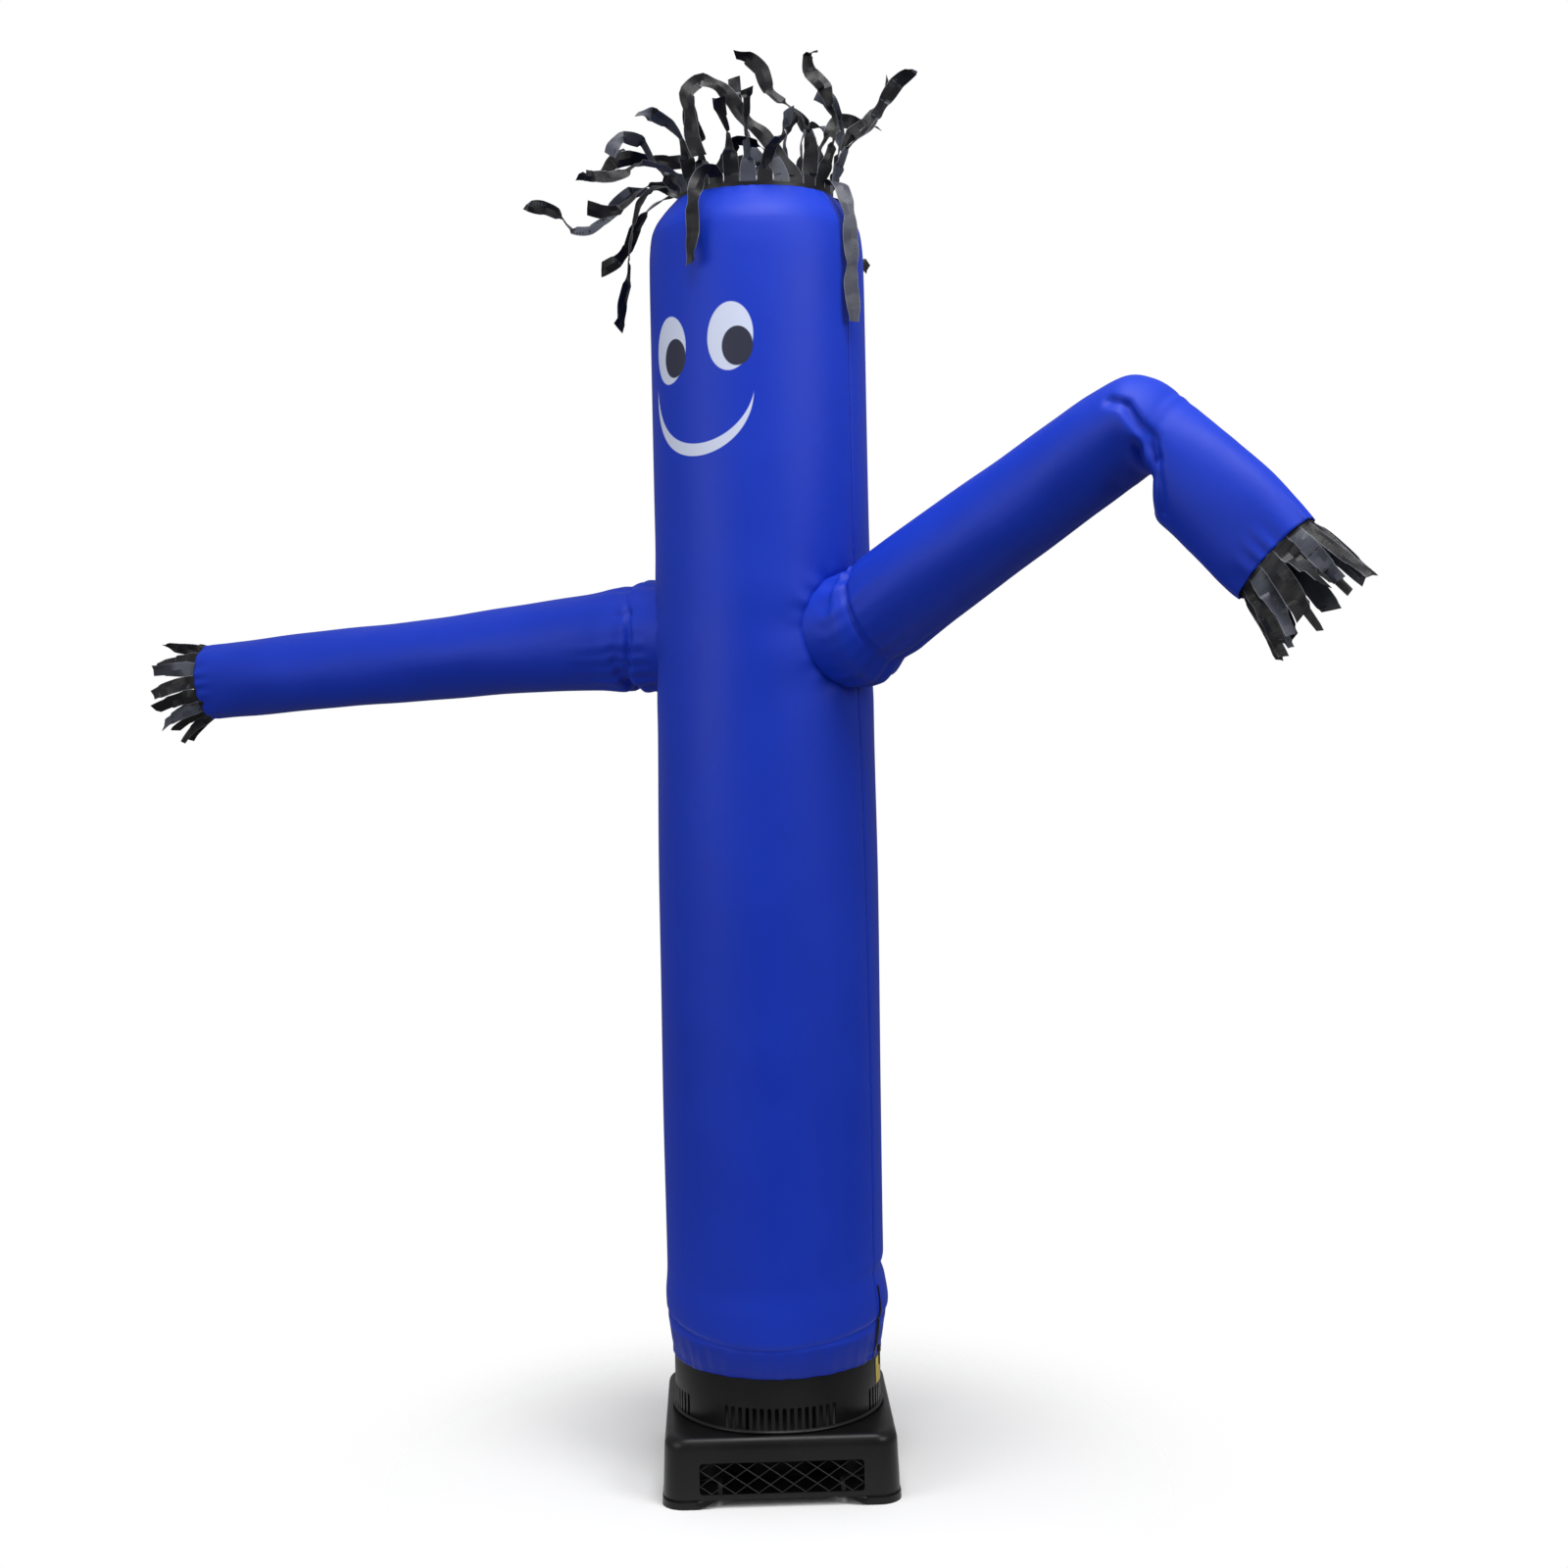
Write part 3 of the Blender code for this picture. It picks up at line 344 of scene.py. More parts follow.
def base_housing():
    """Rounded squares lofted by height; the lowest rows spread from the arched lower edge upwards, with
    a groove over the feet, and the last rows close in from the shoulder to the round hole."""
    table = np.array(BASE_SECTIONS)
    share = np.array(EDGE_SHARES)[:, None]
    edge_rows = len(share)
    heights = np.concatenate([share[:, 0] * table[1, 0], np.linspace(*WALL_ROWS), table[3:, 0]])
    x, y, side_x = base_outline(np.interp(heights, table[:, 0], table[:, 1]),
                                np.interp(heights, table[:, 0], table[:, 2]))
    edge = BASE_ARCH * eased_step((ARCH_FROM - np.abs(side_x[0])) / (ARCH_FROM - ARCH_TO))
    edge = np.tile(np.where(np.arange(len(edge)) <= SIDE_STEPS, edge, 0.0), 4)
    z = np.repeat(heights[:, None], x.shape[1], 1)
    z[:edge_rows] = edge[None, :] + (table[1, 0] - edge[None, :]) * share
    step = np.array(FOOT_STEP)
    wider = 1.0 + np.interp(z, step[:, 0], step[:, 1]) / table[1, 1]
    x, y = x * wider, y * wider
    length = np.hypot(x[-1], y[-1])
    closing = np.linspace(0.0, 1.0, DECK_ROWS)[1:, None]
    radius = length + (BASE_HOLE[0] - length) * closing
    deck_z = z[-1] + (BASE_HOLE[1] - z[-1]) * closing
    x = np.concatenate([x, x[-1] / length * radius])
    y = np.concatenate([y, y[-1] / length * radius])
    z = np.concatenate([z, deck_z])
    faces = grid_faces(x.shape[0], x.shape[1], True).reshape(-1, 4)
    piece = mesh_object("base_housing_moulding", np.stack([x, y, z], -1), faces.tolist(), black_plastic)
    wall_of(piece, BASE_WALL)
    return piece


def rounded_rectangle(half_wide, half_tall, corner, steps):
    """Points anticlockwise round a rectangle with quarter-circle corners."""
    bend = np.linspace(0.0, np.pi / 2.0, steps + 1)
    start = np.arange(4)[:, None] * np.pi / 2.0
    sign_x = np.array([1.0, -1.0, -1.0, 1.0])[:, None]
    sign_z = np.array([1.0, 1.0, -1.0, -1.0])[:, None]
    x = sign_x * (half_wide - corner) + corner * np.cos(start + bend[None, :])
    z = sign_z * (half_tall - corner) + corner * np.sin(start + bend[None, :])
    return x.ravel(), z.ravel()


def cut_windows(piece):
    """Cut a rounded rectangle through each of the four walls."""
    low, high = WINDOW_HEIGHTS
    across, tall = rounded_rectangle(WINDOW_HALF, (high - low) / 2.0, WINDOW_CORNER, WINDOW_CORNER_STEPS)
    count = len(across)
    points, faces = [], []
    for quarter in range(4):
        for depth in WINDOW_CUT:
            x, y = quarter_turned(across, np.full(count, depth), quarter)
            points.append(np.stack([x, y, tall + (low + high) / 2.0], -1))
        start = 2 * quarter * count
        ring = grid_faces(2, count, True).reshape(-1, 4)[:, ::-1] + start
        faces.extend(ring.tolist())
        faces.append(list(range(start, start + count)))
        faces.append(list(range(start + count, start + 2 * count))[::-1])
    cutter = mesh_object("window_cutter", np.concatenate(points), faces, black_plastic, False)
    bpy.context.view_layer.update()
    cut = piece.modifiers.new("windows", "BOOLEAN")
    cut.operation = "DIFFERENCE"
    cut.object = cutter
    settled(piece)
    bpy.data.objects.remove(cutter, do_unlink=True)
    sharpened(piece, MOULDED_EDGE)


housing = base_housing()
cut_windows(housing)
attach(housing, "root")
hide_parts("base_housing")

# The feet are moulded pads inside the corners of the box, with sloping inner ends that carry on the arch.
FOOT_ROWS = (
    # height, inner_edge, outer_edge, corner_radius
    (0.0004, 0.1735, 0.2358, 0.0430),
    (0.0018, 0.1715, 0.2372, 0.0444),
    (0.0090, 0.1500, 0.2376, 0.0448),
    (0.0166, 0.1290, 0.2376, 0.0448),
)
FOOT_ROUND = 0.006
FOOT_CORNER_POINTS = 13
FOOT_ROUND_POINTS = 5


def capped(name, rows, material, degrees):
    """A solid through rows of points [row, column], closed by a flat face at each end."""
    count = rows.shape[1]
    faces = grid_faces(len(rows), count, True).reshape(-1, 4).tolist()
    faces.append(list(range(count))[::-1])
    faces.append(list(range((len(rows) - 1) * count, len(rows) * count)))
    return sharpened(mesh_object(name, rows, faces, material), degrees)


def foot(name, quarter):
    """A pad lofted through four outlines: three corners barely rounded, the outer one following the box."""
    rows = []
    bend = np.radians(np.linspace(-90.0, 0.0, FOOT_CORNER_POINTS))
    small = np.radians(np.linspace(0.0, 90.0, FOOT_ROUND_POINTS))
    for height, inner, outer, corner in FOOT_ROWS:
        x = np.concatenate([outer - corner + corner * np.cos(bend),
                            outer - FOOT_ROUND + FOOT_ROUND * np.cos(small),
                            inner + FOOT_ROUND + FOOT_ROUND * np.cos(small + np.pi / 2.0),
                            inner + FOOT_ROUND + FOOT_ROUND * np.cos(small + np.pi)])
        y = np.concatenate([-outer + corner + corner * np.sin(bend),
                            -inner - FOOT_ROUND + FOOT_ROUND * np.sin(small),
                            -inner - FOOT_ROUND + FOOT_ROUND * np.sin(small + np.pi / 2.0),
                            -outer + FOOT_ROUND + FOOT_ROUND * np.sin(small + np.pi)])
        x, y = quarter_turned(x, y, quarter)
        rows.append(np.stack([x, y, np.full(len(x), height)], -1))
    return capped(name, np.stack(rows), black_plastic, MOULDED_EDGE)


for quarter, stands_for in enumerate(("foot_2", "foot_3", "foot_4", "foot_1")):
    pad = foot(f"corner_{stands_for}", quarter)
    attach(pad, "root")
    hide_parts(stands_for)

# The plate under the base is plain black moulding; it keeps its CAD shape and takes the plastic's finish.
plate = bpy.data.objects["base_plate"]
plate.data.materials.clear()
plate.data.materials.append(black_plastic)

# Each window is closed from inside by a lattice of half-round ribs crossing in long diamonds,
# moulded in one with the flat frame that clips in behind the wall.
GRILLE_HALF = (0.1745, 0.0365)
GRILLE_OPEN = (0.1660, 0.0320)
GRILLE_FACE = 0.2333
GRILLE_LEAN = math.radians(2.2)
GRILLE_DEPTH = 0.0026
DIAMOND_PITCH = (0.0470, 0.0315)
RIB_WIDTH = 0.0032
RIB_RISE = 0.0030
RIB_SIDES = 7
RIB_TUCK = (0.004, 0.002)
RIB_REPEATS = 12
RIB_EDGE = 50.0


def rib_lines():
    """Ends of every rib: lines of both slopes, a diamond apart, clipped a little way under the frame."""
    slope = DIAMOND_PITCH[1] / DIAMOND_PITCH[0]
    wide, tall = GRILLE_OPEN[0] + RIB_TUCK[0], GRILLE_OPEN[1] + RIB_TUCK[1]
    starts = np.arange(-RIB_REPEATS, RIB_REPEATS + 1) * DIAMOND_PITCH[1]
    low = np.maximum((-tall - starts) / slope, -wide)
    high = np.minimum((tall - starts) / slope, wide)
    kept = high - low > RIB_WIDTH
    low, high, starts = low[kept], high[kept], starts[kept]
    rising = np.stack([np.stack([end, slope * end + starts], -1) for end in (low, high)], 1)
    falling = rising * np.array([-1.0, 1.0])
    return np.concatenate([rising, falling[:, ::-1]])


def grille(name, quarter):
    """Half-round ribs swept along their lines, and a flat rectangular frame, leaning with the wall."""
    ends = rib_lines()
    along = ends[:, 1] - ends[:, 0]
    along /= np.linalg.norm(along, axis=1)[:, None]
    across = np.stack([-along[:, 1], along[:, 0]], -1)
    bend = np.linspace(0.0, np.pi, RIB_SIDES)
    offset = RIB_WIDTH / 2.0 * np.cos(bend)
    front = GRILLE_DEPTH / 2.0 - RIB_RISE * np.sin(bend)
    flat = ends[:, :, None, :] + across[:, None, None, :] * offset[None, None, :, None]
    ribs = np.stack([flat[..., 0], np.broadcast_to(front, flat.shape[:3]), flat[..., 1]], -1)
    count = ribs.shape[0]
    ring = np.arange(RIB_SIDES)
    beside = (ring + 1) % RIB_SIDES
    sides = np.stack([ring, beside, beside + RIB_SIDES, ring + RIB_SIDES], -1)
    starts = 2 * RIB_SIDES * np.arange(count)
    faces = (sides[None] + starts[:, None, None]).reshape(-1, 4)[:, ::-1].tolist()
    faces.extend((ring[None] + starts[:, None]).tolist())
    faces.extend((ring[None, ::-1] + RIB_SIDES + starts[:, None]).tolist())
    corner_x = np.array([-1.0, 1.0, 1.0, -1.0])
    corner_z = np.array([-1.0, -1.0, 1.0, 1.0])
    loops = []
    for half, depth in ((GRILLE_HALF, -0.5), (GRILLE_OPEN, -0.5), (GRILLE_OPEN, 0.5), (GRILLE_HALF, 0.5)):
        loops.append(np.stack([corner_x * half[0], np.full(4, depth * GRILLE_DEPTH), corner_z * half[1]], -1))
    frame_faces = grid_faces(5, 4, True).reshape(-1, 4) % 16
    faces.extend((frame_faces + ribs.size // 3).tolist())
    local = np.concatenate([ribs.reshape(-1, 3), np.concatenate(loops)])
    cosine, sine = math.cos(GRILLE_LEAN), math.sin(GRILLE_LEAN)
    y = local[:, 1] * cosine + local[:, 2] * sine - GRILLE_FACE + GRILLE_DEPTH / 2.0
    z = local[:, 2] * cosine - local[:, 1] * sine + sum(WINDOW_HEIGHTS) / 2.0
    x, y = quarter_turned(local[:, 0], y, quarter)
    return sharpened(mesh_object(name, np.stack([x, y, z], -1), faces, black_plastic), RIB_EDGE)


for quarter, side in enumerate(("front", "right", "back", "left")):
    lattice = grille(f"lattice_{side}", quarter)
    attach(lattice, "root")
    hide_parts(f"grille_{side}")

# The drum is the round outlet that the air leaves by: a moulded collar with a bead round its foot and
# sixteen round-ended slots towards each side of the base.
DRUM_PROFILE = (
    # height, radius
    (0.1185, 0.2160),
    (0.1372, 0.2160),
    (0.1382, 0.2176),
    (0.1392, 0.2194),
    (0.1406, 0.2201),
    (0.1422, 0.2194),
    (0.1436, 0.2175),
    (0.1446, 0.2160),
    (0.1476, 0.2160),
    (0.1866, 0.2160),
    (0.1890, 0.2160),
    (0.2200, 0.2160),
    (0.2600, 0.2160),
    (0.3060, 0.2160),
    (0.3085, 0.2152),
)
SLOT_ROW = 7
SLOT_ROWS = 3
SLOTS = 16
SLOT_PITCH = 4.04
SLOT_WIDE = 2.20
SLOT_END = 0.45
BLANK_SPANS = 10
DRUM_WALL = 0.003
TURNED_EDGE = 40.0


def around(bearing, radius, height):
    """Points at bearings in degrees, distances from the upright axis and heights."""
    bearing, radius, height = np.broadcast_arrays(np.radians(bearing), radius, height)
    return np.stack([radius * np.sin(bearing), -radius * np.cos(bearing), height], -1)


def drum():
    """A profile turned round the axis; the slots' columns draw together at each slot's ends."""
    slot = np.arange(SLOTS) * SLOT_PITCH - SLOT_PITCH * (SLOTS - 1) / 2.0
    last = slot[-1] + SLOT_WIDE / 2.0
    blank = np.linspace(last, 90.0 - last, BLANK_SPANS + 1)[1:-1]
    middle = np.concatenate([np.repeat(slot, 2), blank])
    half = np.concatenate([np.tile([-SLOT_WIDE / 2.0, SLOT_WIDE / 2.0], SLOTS), np.zeros(len(blank))])
    middle = (middle[None, :] + 90.0 * np.arange(4)[:, None]).ravel()
    half = np.tile(half, 4)
    rows = np.arange(len(DRUM_PROFILE))
    narrow = np.where((rows == SLOT_ROW) | (rows == SLOT_ROW + SLOT_ROWS), SLOT_END, 1.0)
    profile = np.array(DRUM_PROFILE)
    bearing = middle[None, :] + half[None, :] * narrow[:, None]
    points = around(bearing, profile[:, 1:2], profile[:, 0:1])
    quads = grid_faces(len(rows), len(middle), True)
    kept = np.ones(quads.shape[:2], bool)
    cells = (np.arange(4)[:, None] * (len(middle) // 4) + 2 * np.arange(SLOTS)[None, :]).ravel()
    kept[SLOT_ROW:SLOT_ROW + SLOT_ROWS, cells] = False
    piece = mesh_object("outlet_drum", points, quads[kept].tolist(), black_plastic)
    wall_of(piece, DRUM_WALL)
    return sharpened(settled(piece), TURNED_EDGE)


collar = drum()
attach(collar, "root")
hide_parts("drum")

# The fan's motor stands on the plate in the middle of the drum. Only its dark side shows, behind the slots.
MOTOR_PROFILE = (
    # height, radius
    (0.0202, 0.1060),
    (0.0230, 0.1400),
    (0.1800, 0.1400),
    (0.1960, 0.1110),
    (0.2050, 0.0990),
    (0.2080, 0.0700),
)
MOTOR_SIDES = 48


def motor():
    """A profile turned round the axis and closed by a flat face at each end."""
    profile = np.array(MOTOR_PROFILE)
    turns = 360.0 * np.arange(MOTOR_SIDES)[None, :] / MOTOR_SIDES
    return capped("fan_motor", around(turns, profile[:, 1:2], profile[:, 0:1]), black_plastic, TURNED_EDGE)


fan_motor = motor()
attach(fan_motor, "root")

# A plain yellow vinyl sticker runs down the drum below the zip; its corners are rounded and its
# edges have lifted a little.
STICKER_BEARING = 73.0
STICKER_HEIGHTS = (0.190, 0.243)
STICKER_HALF = 0.0180
STICKER_RADIUS = 0.2168
STICKER_DARK = (0.46, 0.35, 0.060, 1.0)
STICKER_PALE = (0.70, 0.58, 0.14, 1.0)
STICKER_CORNER = 0.004
STICKER_THICK = 0.0005
STICKER_GRID = (24, 9)
EDGE_LIFT = 0.0004
STICKER_WAVE = (0.00015, 700.0)

yellow_vinyl = moulded("yellow_sticker", STICKER_DARK, STICKER_PALE, (0.42, 0.6), 0.004, 0.25)


def sticker():
    """A strip over the drum whose width rounds off at both ends and whose edges lift by 0.4 mm."""
    low, high = STICKER_HEIGHTS
    height = np.linspace(low, high, STICKER_GRID[0])[:, None]
    into_corner = np.maximum(STICKER_CORNER - np.minimum(height - low, high - height), 0.0)
    cut = STICKER_CORNER - np.sqrt(np.maximum(STICKER_CORNER ** 2 - into_corner ** 2, 0.0))
    share = np.linspace(-1.0, 1.0, STICKER_GRID[1])[None, :]
    bearing = STICKER_BEARING + np.degrees((STICKER_HALF - cut) * share / STICKER_RADIUS)
    lift = EDGE_LIFT * np.abs(share) ** 4 + STICKER_WAVE[0] * np.sin(height * STICKER_WAVE[1])
    points = around(bearing, STICKER_RADIUS + lift, height)
    faces = grid_faces(*STICKER_GRID, False).reshape(-1, 4).tolist()
    piece = mesh_object("yellow_strip", points, faces, yellow_vinyl)
    wall_of(piece, STICKER_THICK)
    return piece


strip = sticker()
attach(strip, "root")
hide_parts("sticker")

# The figure is a tube of blue coated nylon, two panels sewn up both sides. The air holds it round;
# the hem is drawn in over the drum, and the head's shoulder is gathered to the mouth.
TUBE_RINGS = (
    # height, radius
    (0.2490, 0.2196),
    (0.2560, 0.2224),
    (0.2700, 0.2262),
    (0.2900, 0.2288),
    (0.3010, 0.2286),
    (0.3060, 0.2262),
    (0.3110, 0.2300),
    (0.3220, 0.2318),
    (0.3600, 0.2325),
    (0.4300, 0.2290),
    (0.8000, 0.2310),
    (1.2000, 0.2315),
    (1.5500, 0.2280),
    (1.9700, 0.2245),
    (2.4500, 0.2240),
    (2.5300, 0.2232),
    (2.5600, 0.2212),
    (2.5850, 0.2176),
    (2.6050, 0.2100),
    (2.6300, 0.1925),
    (2.6600, 0.1665),
)
SEAM_BEARINGS = (62.0, 55.0)
CLOTH = 0.0008
ON_DRUM = 0.2172
TUBE_MEAN = 0.228
ARC_RADIUS = 0.2245
PANEL_COLUMNS = 150
PANEL_ROWS = ((0.249, 0.45, 52), (0.46, 1.56, 74), (1.572, 1.94, 60), (1.955, 2.54, 42), (2.548, 2.66, 34))
ARMHOLE_HEIGHT = 1.752
ARMHOLE_RADIUS = 0.1165
ARMHOLE_BEARINGS = (51.0, -119.0)
ARMHOLE_LAP = 0.006
TUBE_WAVES = (
    # depth, times_round, per_metre, start, fade_per_metre, fade_start
    (0.0016, 2.0, 1.7, 0.4, 0.0, 0.0),
    (0.0011, 3.0, -3.1, 2.0, 0.0, 0.0),
    (0.0006, 7.0, 5.3, 0.0, 4.1, 1.0),
)
SEAM_GROOVE = (0.0026, 0.0030)
SEAM_PUCKER = (0.0007, 0.014)
SEAM_RIPPLE = (190.0, 3.0, 23.0)
RIPPLE_SWELL = 11.0
HEM_EDGE = (0.312, 0.030)
HEM_PLEATS = ((24.0, 2.1, 5.0), (41.0, 1.4, 7.0))
HEM_DEPTH = 0.0019
HEM_SETTLING = (0.0035, 0.034, 0.315, 0.055)
SIDE_BULGE = (84.0, 24.0)
BULGES = (
    # depth, height, half_height
    (0.0050, 0.350, 0.030),
    (-0.0060, 0.424, 0.014),
)
MOUTH_GATHERS = (0.0014, 2.640, 0.018)
MOUTH_PLEATS = (34.0, (2.4, 3.0), (1.1, 8.0))
ARM_PLEATS = (17.0, 1.8, 2.0)
ARM_RINGS = ((0.0022, 0.124, 0.020), (0.0018, 0.140, 0.060), (-0.0030, ARMHOLE_RADIUS, 0.006))
CLOTH_DEEP = (0.0008, 0.0262, 0.425, 1.0)
CLOTH_PALE = (0.0014, 0.0290, 0.452, 1.0)
CLOTH_ROUGHNESS = (0.50, 0.56)
# Painted shade on the hem: its darker blue, and the heights over which it fades out.
HEM_PAINTED_SHADE = (0.0006, 0.0150, 0.250, 1.0)
HEM_SHADE_HEIGHTS = (0.302, 0.312)
THREADS = 1700.0
THREAD_DEPTH = 0.0001
THREAD_BLUE = (0.02, 0.07, 0.6, 1.0)


def through(at, table, column):
    """The smooth curve through one column of a table, by its first column: cubic pieces whose slope at a
    row is the harmonic mean of the slopes beside it, or level where they turn."""
    rows = np.array(table, float)
    places, values = rows[:, 0], rows[:, column]
    gaps = np.diff(places)
    rise = np.diff(values) / gaps
    product, total = rise[1:] * rise[:-1], rise[1:] + rise[:-1]
    inner = np.divide(2.0 * product, total, out=np.zeros_like(total), where=product > 0.0)
    slope = np.concatenate([rise[:1], inner, rise[-1:]])
    index = np.clip(np.searchsorted(places, at, side="right") - 1, 0, len(gaps) - 1)
    gap = gaps[index]
    t = np.clip((at - places[index]) / gap, 0.0, 1.0)
    bent = (t ** 3 - 2.0 * t ** 2 + t) * gap * slope[index] + (t ** 3 - t ** 2) * gap * slope[index + 1]
    return values[index] + (values[index + 1] - values[index]) * eased_step(t) + bent


def bell(value, width):
    """1 at 0, falling away on both sides: exp(-(value / width)^2)."""
    return np.exp(-(value / width) ** 2)


def seam_bearing(height):
    """The right seam's bearing; it winds forward a little towards the head."""
    low, high = TUBE_RINGS[0][0], TUBE_RINGS[-1][0]
    return SEAM_BEARINGS[0] + (SEAM_BEARINGS[1] - SEAM_BEARINGS[0]) * (height - low) / (high - low)


def uneven(turn, along, waves):
    """A sum of slow waves round and along the cloth. A wave with a fade swells and dies along it."""
    total = 0.0
    for depth, times_round, per_metre, start, fade, fade_start in waves:
        wave = depth * np.sin(times_round * turn + per_metre * along + start)
        total = total + (wave * np.sin(fade * along + fade_start) if fade else wave)
    return total


def gathers(turn, count, sway, sway_count):
    """Pleats side by side, unevenly wide: cos(count t + sway sin(sway_count t))."""
    return np.cos(count * turn + sway * np.sin(sway_count * turn))


def tube_relief(bearing, height):
    """How far the cloth stands off its plain round: slow unevenness of the air-filled tube, a groove and
    small puckers along each side seam, pleats under the strap, and gathers at the mouth and the armholes."""
    turn = np.radians(bearing)
    relief = uneven(turn, height, TUBE_WAVES)
    from_seam = np.radians((bearing - seam_bearing(height) + 90.0) % 180.0 - 90.0) * TUBE_MEAN
    per_metre, sway, sway_per_metre = SEAM_RIPPLE
    wave = np.sin(height * per_metre + sway * np.sin(height * sway_per_metre))
    wave = wave * (0.6 + 0.4 * np.sin(height * RIPPLE_SWELL))
    relief = relief - SEAM_GROOVE[0] * bell(from_seam, SEAM_GROOVE[1])
    relief = relief + SEAM_PUCKER[0] * wave * np.exp(-np.abs(from_seam) / SEAM_PUCKER[1])
    pleat = gathers(turn, *HEM_PLEATS[0]) + 0.6 * gathers(turn, *HEM_PLEATS[1])
    pleat = pleat * (0.5 + 0.5 * np.sin(3.0 * turn + 1.0) ** 2)
    relief = relief + HEM_DEPTH * eased_step((HEM_EDGE[0] - height) / HEM_EDGE[1]) * pleat
    side = bell(bearing - SIDE_BULGE[0], SIDE_BULGE[1])
    for depth, level, half_height in BULGES:
        relief = relief + side * depth * bell(height - level, half_height)
    count, wide, narrow = MOUTH_PLEATS
    swaying = count * turn + wide[0] * np.sin(wide[1] * turn) + narrow[0] * np.sin(narrow[1] * turn)
    gather = 0.5 + 0.5 * np.cos(swaying)
    depth, level, fade = MOUTH_GATHERS
    relief = relief - depth * eased_step((height - level) / fade) * gather
    for arm in ARMHOLE_BEARINGS:
        level = TUBE_MEAN * np.sin(np.radians(bearing - arm))
        above = height - ARMHOLE_HEIGHT
        facing = np.cos(np.radians(bearing - arm)) > 0.0
        distance = np.where(facing, np.hypot(level, above), 9.0)
        swing = np.arctan2(above, level)
        folds = gathers(swing, *ARM_PLEATS) * (0.55 + 0.45 * np.sin(3.0 * swing + 1.0))
        for (depth, away, width), shape in zip(ARM_RINGS, (folds, np.cos(7.0 * swing + 0.6), 1.0)):
            relief = relief + depth * shape * bell(distance - away, width)
    return relief


def cloth_sheet(name, points, closed, across, along, material, kept=None):
    """Quads through a grid of points, with a UV map in metres: across the rows and along them.
    A closed grid has one more across value than it has columns, so that the cloth's count carries on."""
    rows, columns = points.shape[:2]
    quads = grid_faces(rows, columns, closed)
    spans = quads.shape[1]
    left, right = slice(0, spans), slice(1, spans + 1)
    u, v = (np.stack([value[:-1, left], value[:-1, right], value[1:, right], value[1:, left]], -1)
            for value in (across, along))
    if kept is not None:
        quads, u, v = quads[kept], u[kept], v[kept]
    piece = mesh_object(name, points, quads.reshape(-1, 4).tolist(), material)
    layer = piece.data.uv_layers.new(name="cloth")
    layer.data.foreach_set("uv", np.stack([u.ravel(), v.ravel()], -1).ravel())
    return piece


def tube_point(bearing, height, proud=0.0):
    """A point on the tube's outer face, or proud of it. Pleats that would enter the drum lie on it."""
    turn = np.radians(bearing)
    slight, deep, level, fade = HEM_SETTLING
    settling = (slight * np.sin(3.0 * turn + 0.8) + deep * np.sin(turn) ** 2) * bell(height - level, fade)
    radius = through(height - settling, TUBE_RINGS, 1) + tube_relief(bearing, height)
    radius = np.where(height < DRUM_PROFILE[-1][0] + CLOTH, np.maximum(radius, ON_DRUM), radius)
    return around(bearing, radius + proud, height)


def tube_panel(name, start, material):
    """Half of the tube between the side seams, on rows that crowd at the hem, the armholes and the head;
    the quads inside each armhole are left out."""
    height = np.concatenate([np.linspace(*rows) for rows in PANEL_ROWS])[:, None]
    share = np.linspace(0.0, 1.0, PANEL_COLUMNS + 1)[None, :]
    bearing = seam_bearing(height) + start + 180.0 * share
    points = tube_point(bearing, height)
    middle = (points[:-1, :-1] + points[1:, 1:]) / 2.0
    kept = np.ones(middle.shape[:2], bool)
    for arm in ARMHOLE_BEARINGS:
        out = np.array([math.sin(math.radians(arm)), -math.cos(math.radians(arm))])
        level = middle[..., 0] * out[1] - middle[..., 1] * out[0]
        facing = middle[..., 0] * out[0] + middle[..., 1] * out[1] > 0.0
        near = np.hypot(level, middle[..., 2] - ARMHOLE_HEIGHT) < ARMHOLE_RADIUS - ARMHOLE_LAP
        kept &= ~(near & facing)
    across = np.radians(bearing) * ARC_RADIUS
    along = np.broadcast_to(height, across.shape)
    piece = cloth_sheet(name, points, False, across, along, material, kept)
    wall_of(piece, CLOTH)
    return piece


cloth_weave, ends_in, ends_out = effect(
    "cloth_weave",
    [("Place", "Vector", None), ("Threads", "Float", THREADS)],
    [("Weave", "Float"), ("Cloud", "Float"), ("Crumple", "Float")])
parts = node(cloth_weave, "SeparateXYZ", {0: ends_in.outputs["Place"]})
beat = worked(cloth_weave, "MULTIPLY", ends_in.outputs["Threads"], math.pi)
warp = worked(cloth_weave, "SINE", worked(cloth_weave, "MULTIPLY", parts.outputs[0], beat))
weft = worked(cloth_weave, "SINE", worked(cloth_weave, "MULTIPLY", parts.outputs[1], beat))
cloud = node(cloth_weave, "TexNoise", {"Vector": ends_in.outputs["Place"], "Scale": 5.0, "Detail": 4.0})
creased = node(cloth_weave, "TexNoise", {"Vector": ends_in.outputs["Place"], "Scale": 34.0, "Detail": 3.0,
                                         "Distortion": 0.4})
cloth_weave.links.new(worked(cloth_weave, "MULTIPLY", warp, weft), ends_out.inputs["Weave"])
cloth_weave.links.new(cloud.outputs["Fac"], ends_out.inputs["Cloud"])
cloth_weave.links.new(creased.outputs["Fac"], ends_out.inputs["Crumple"])


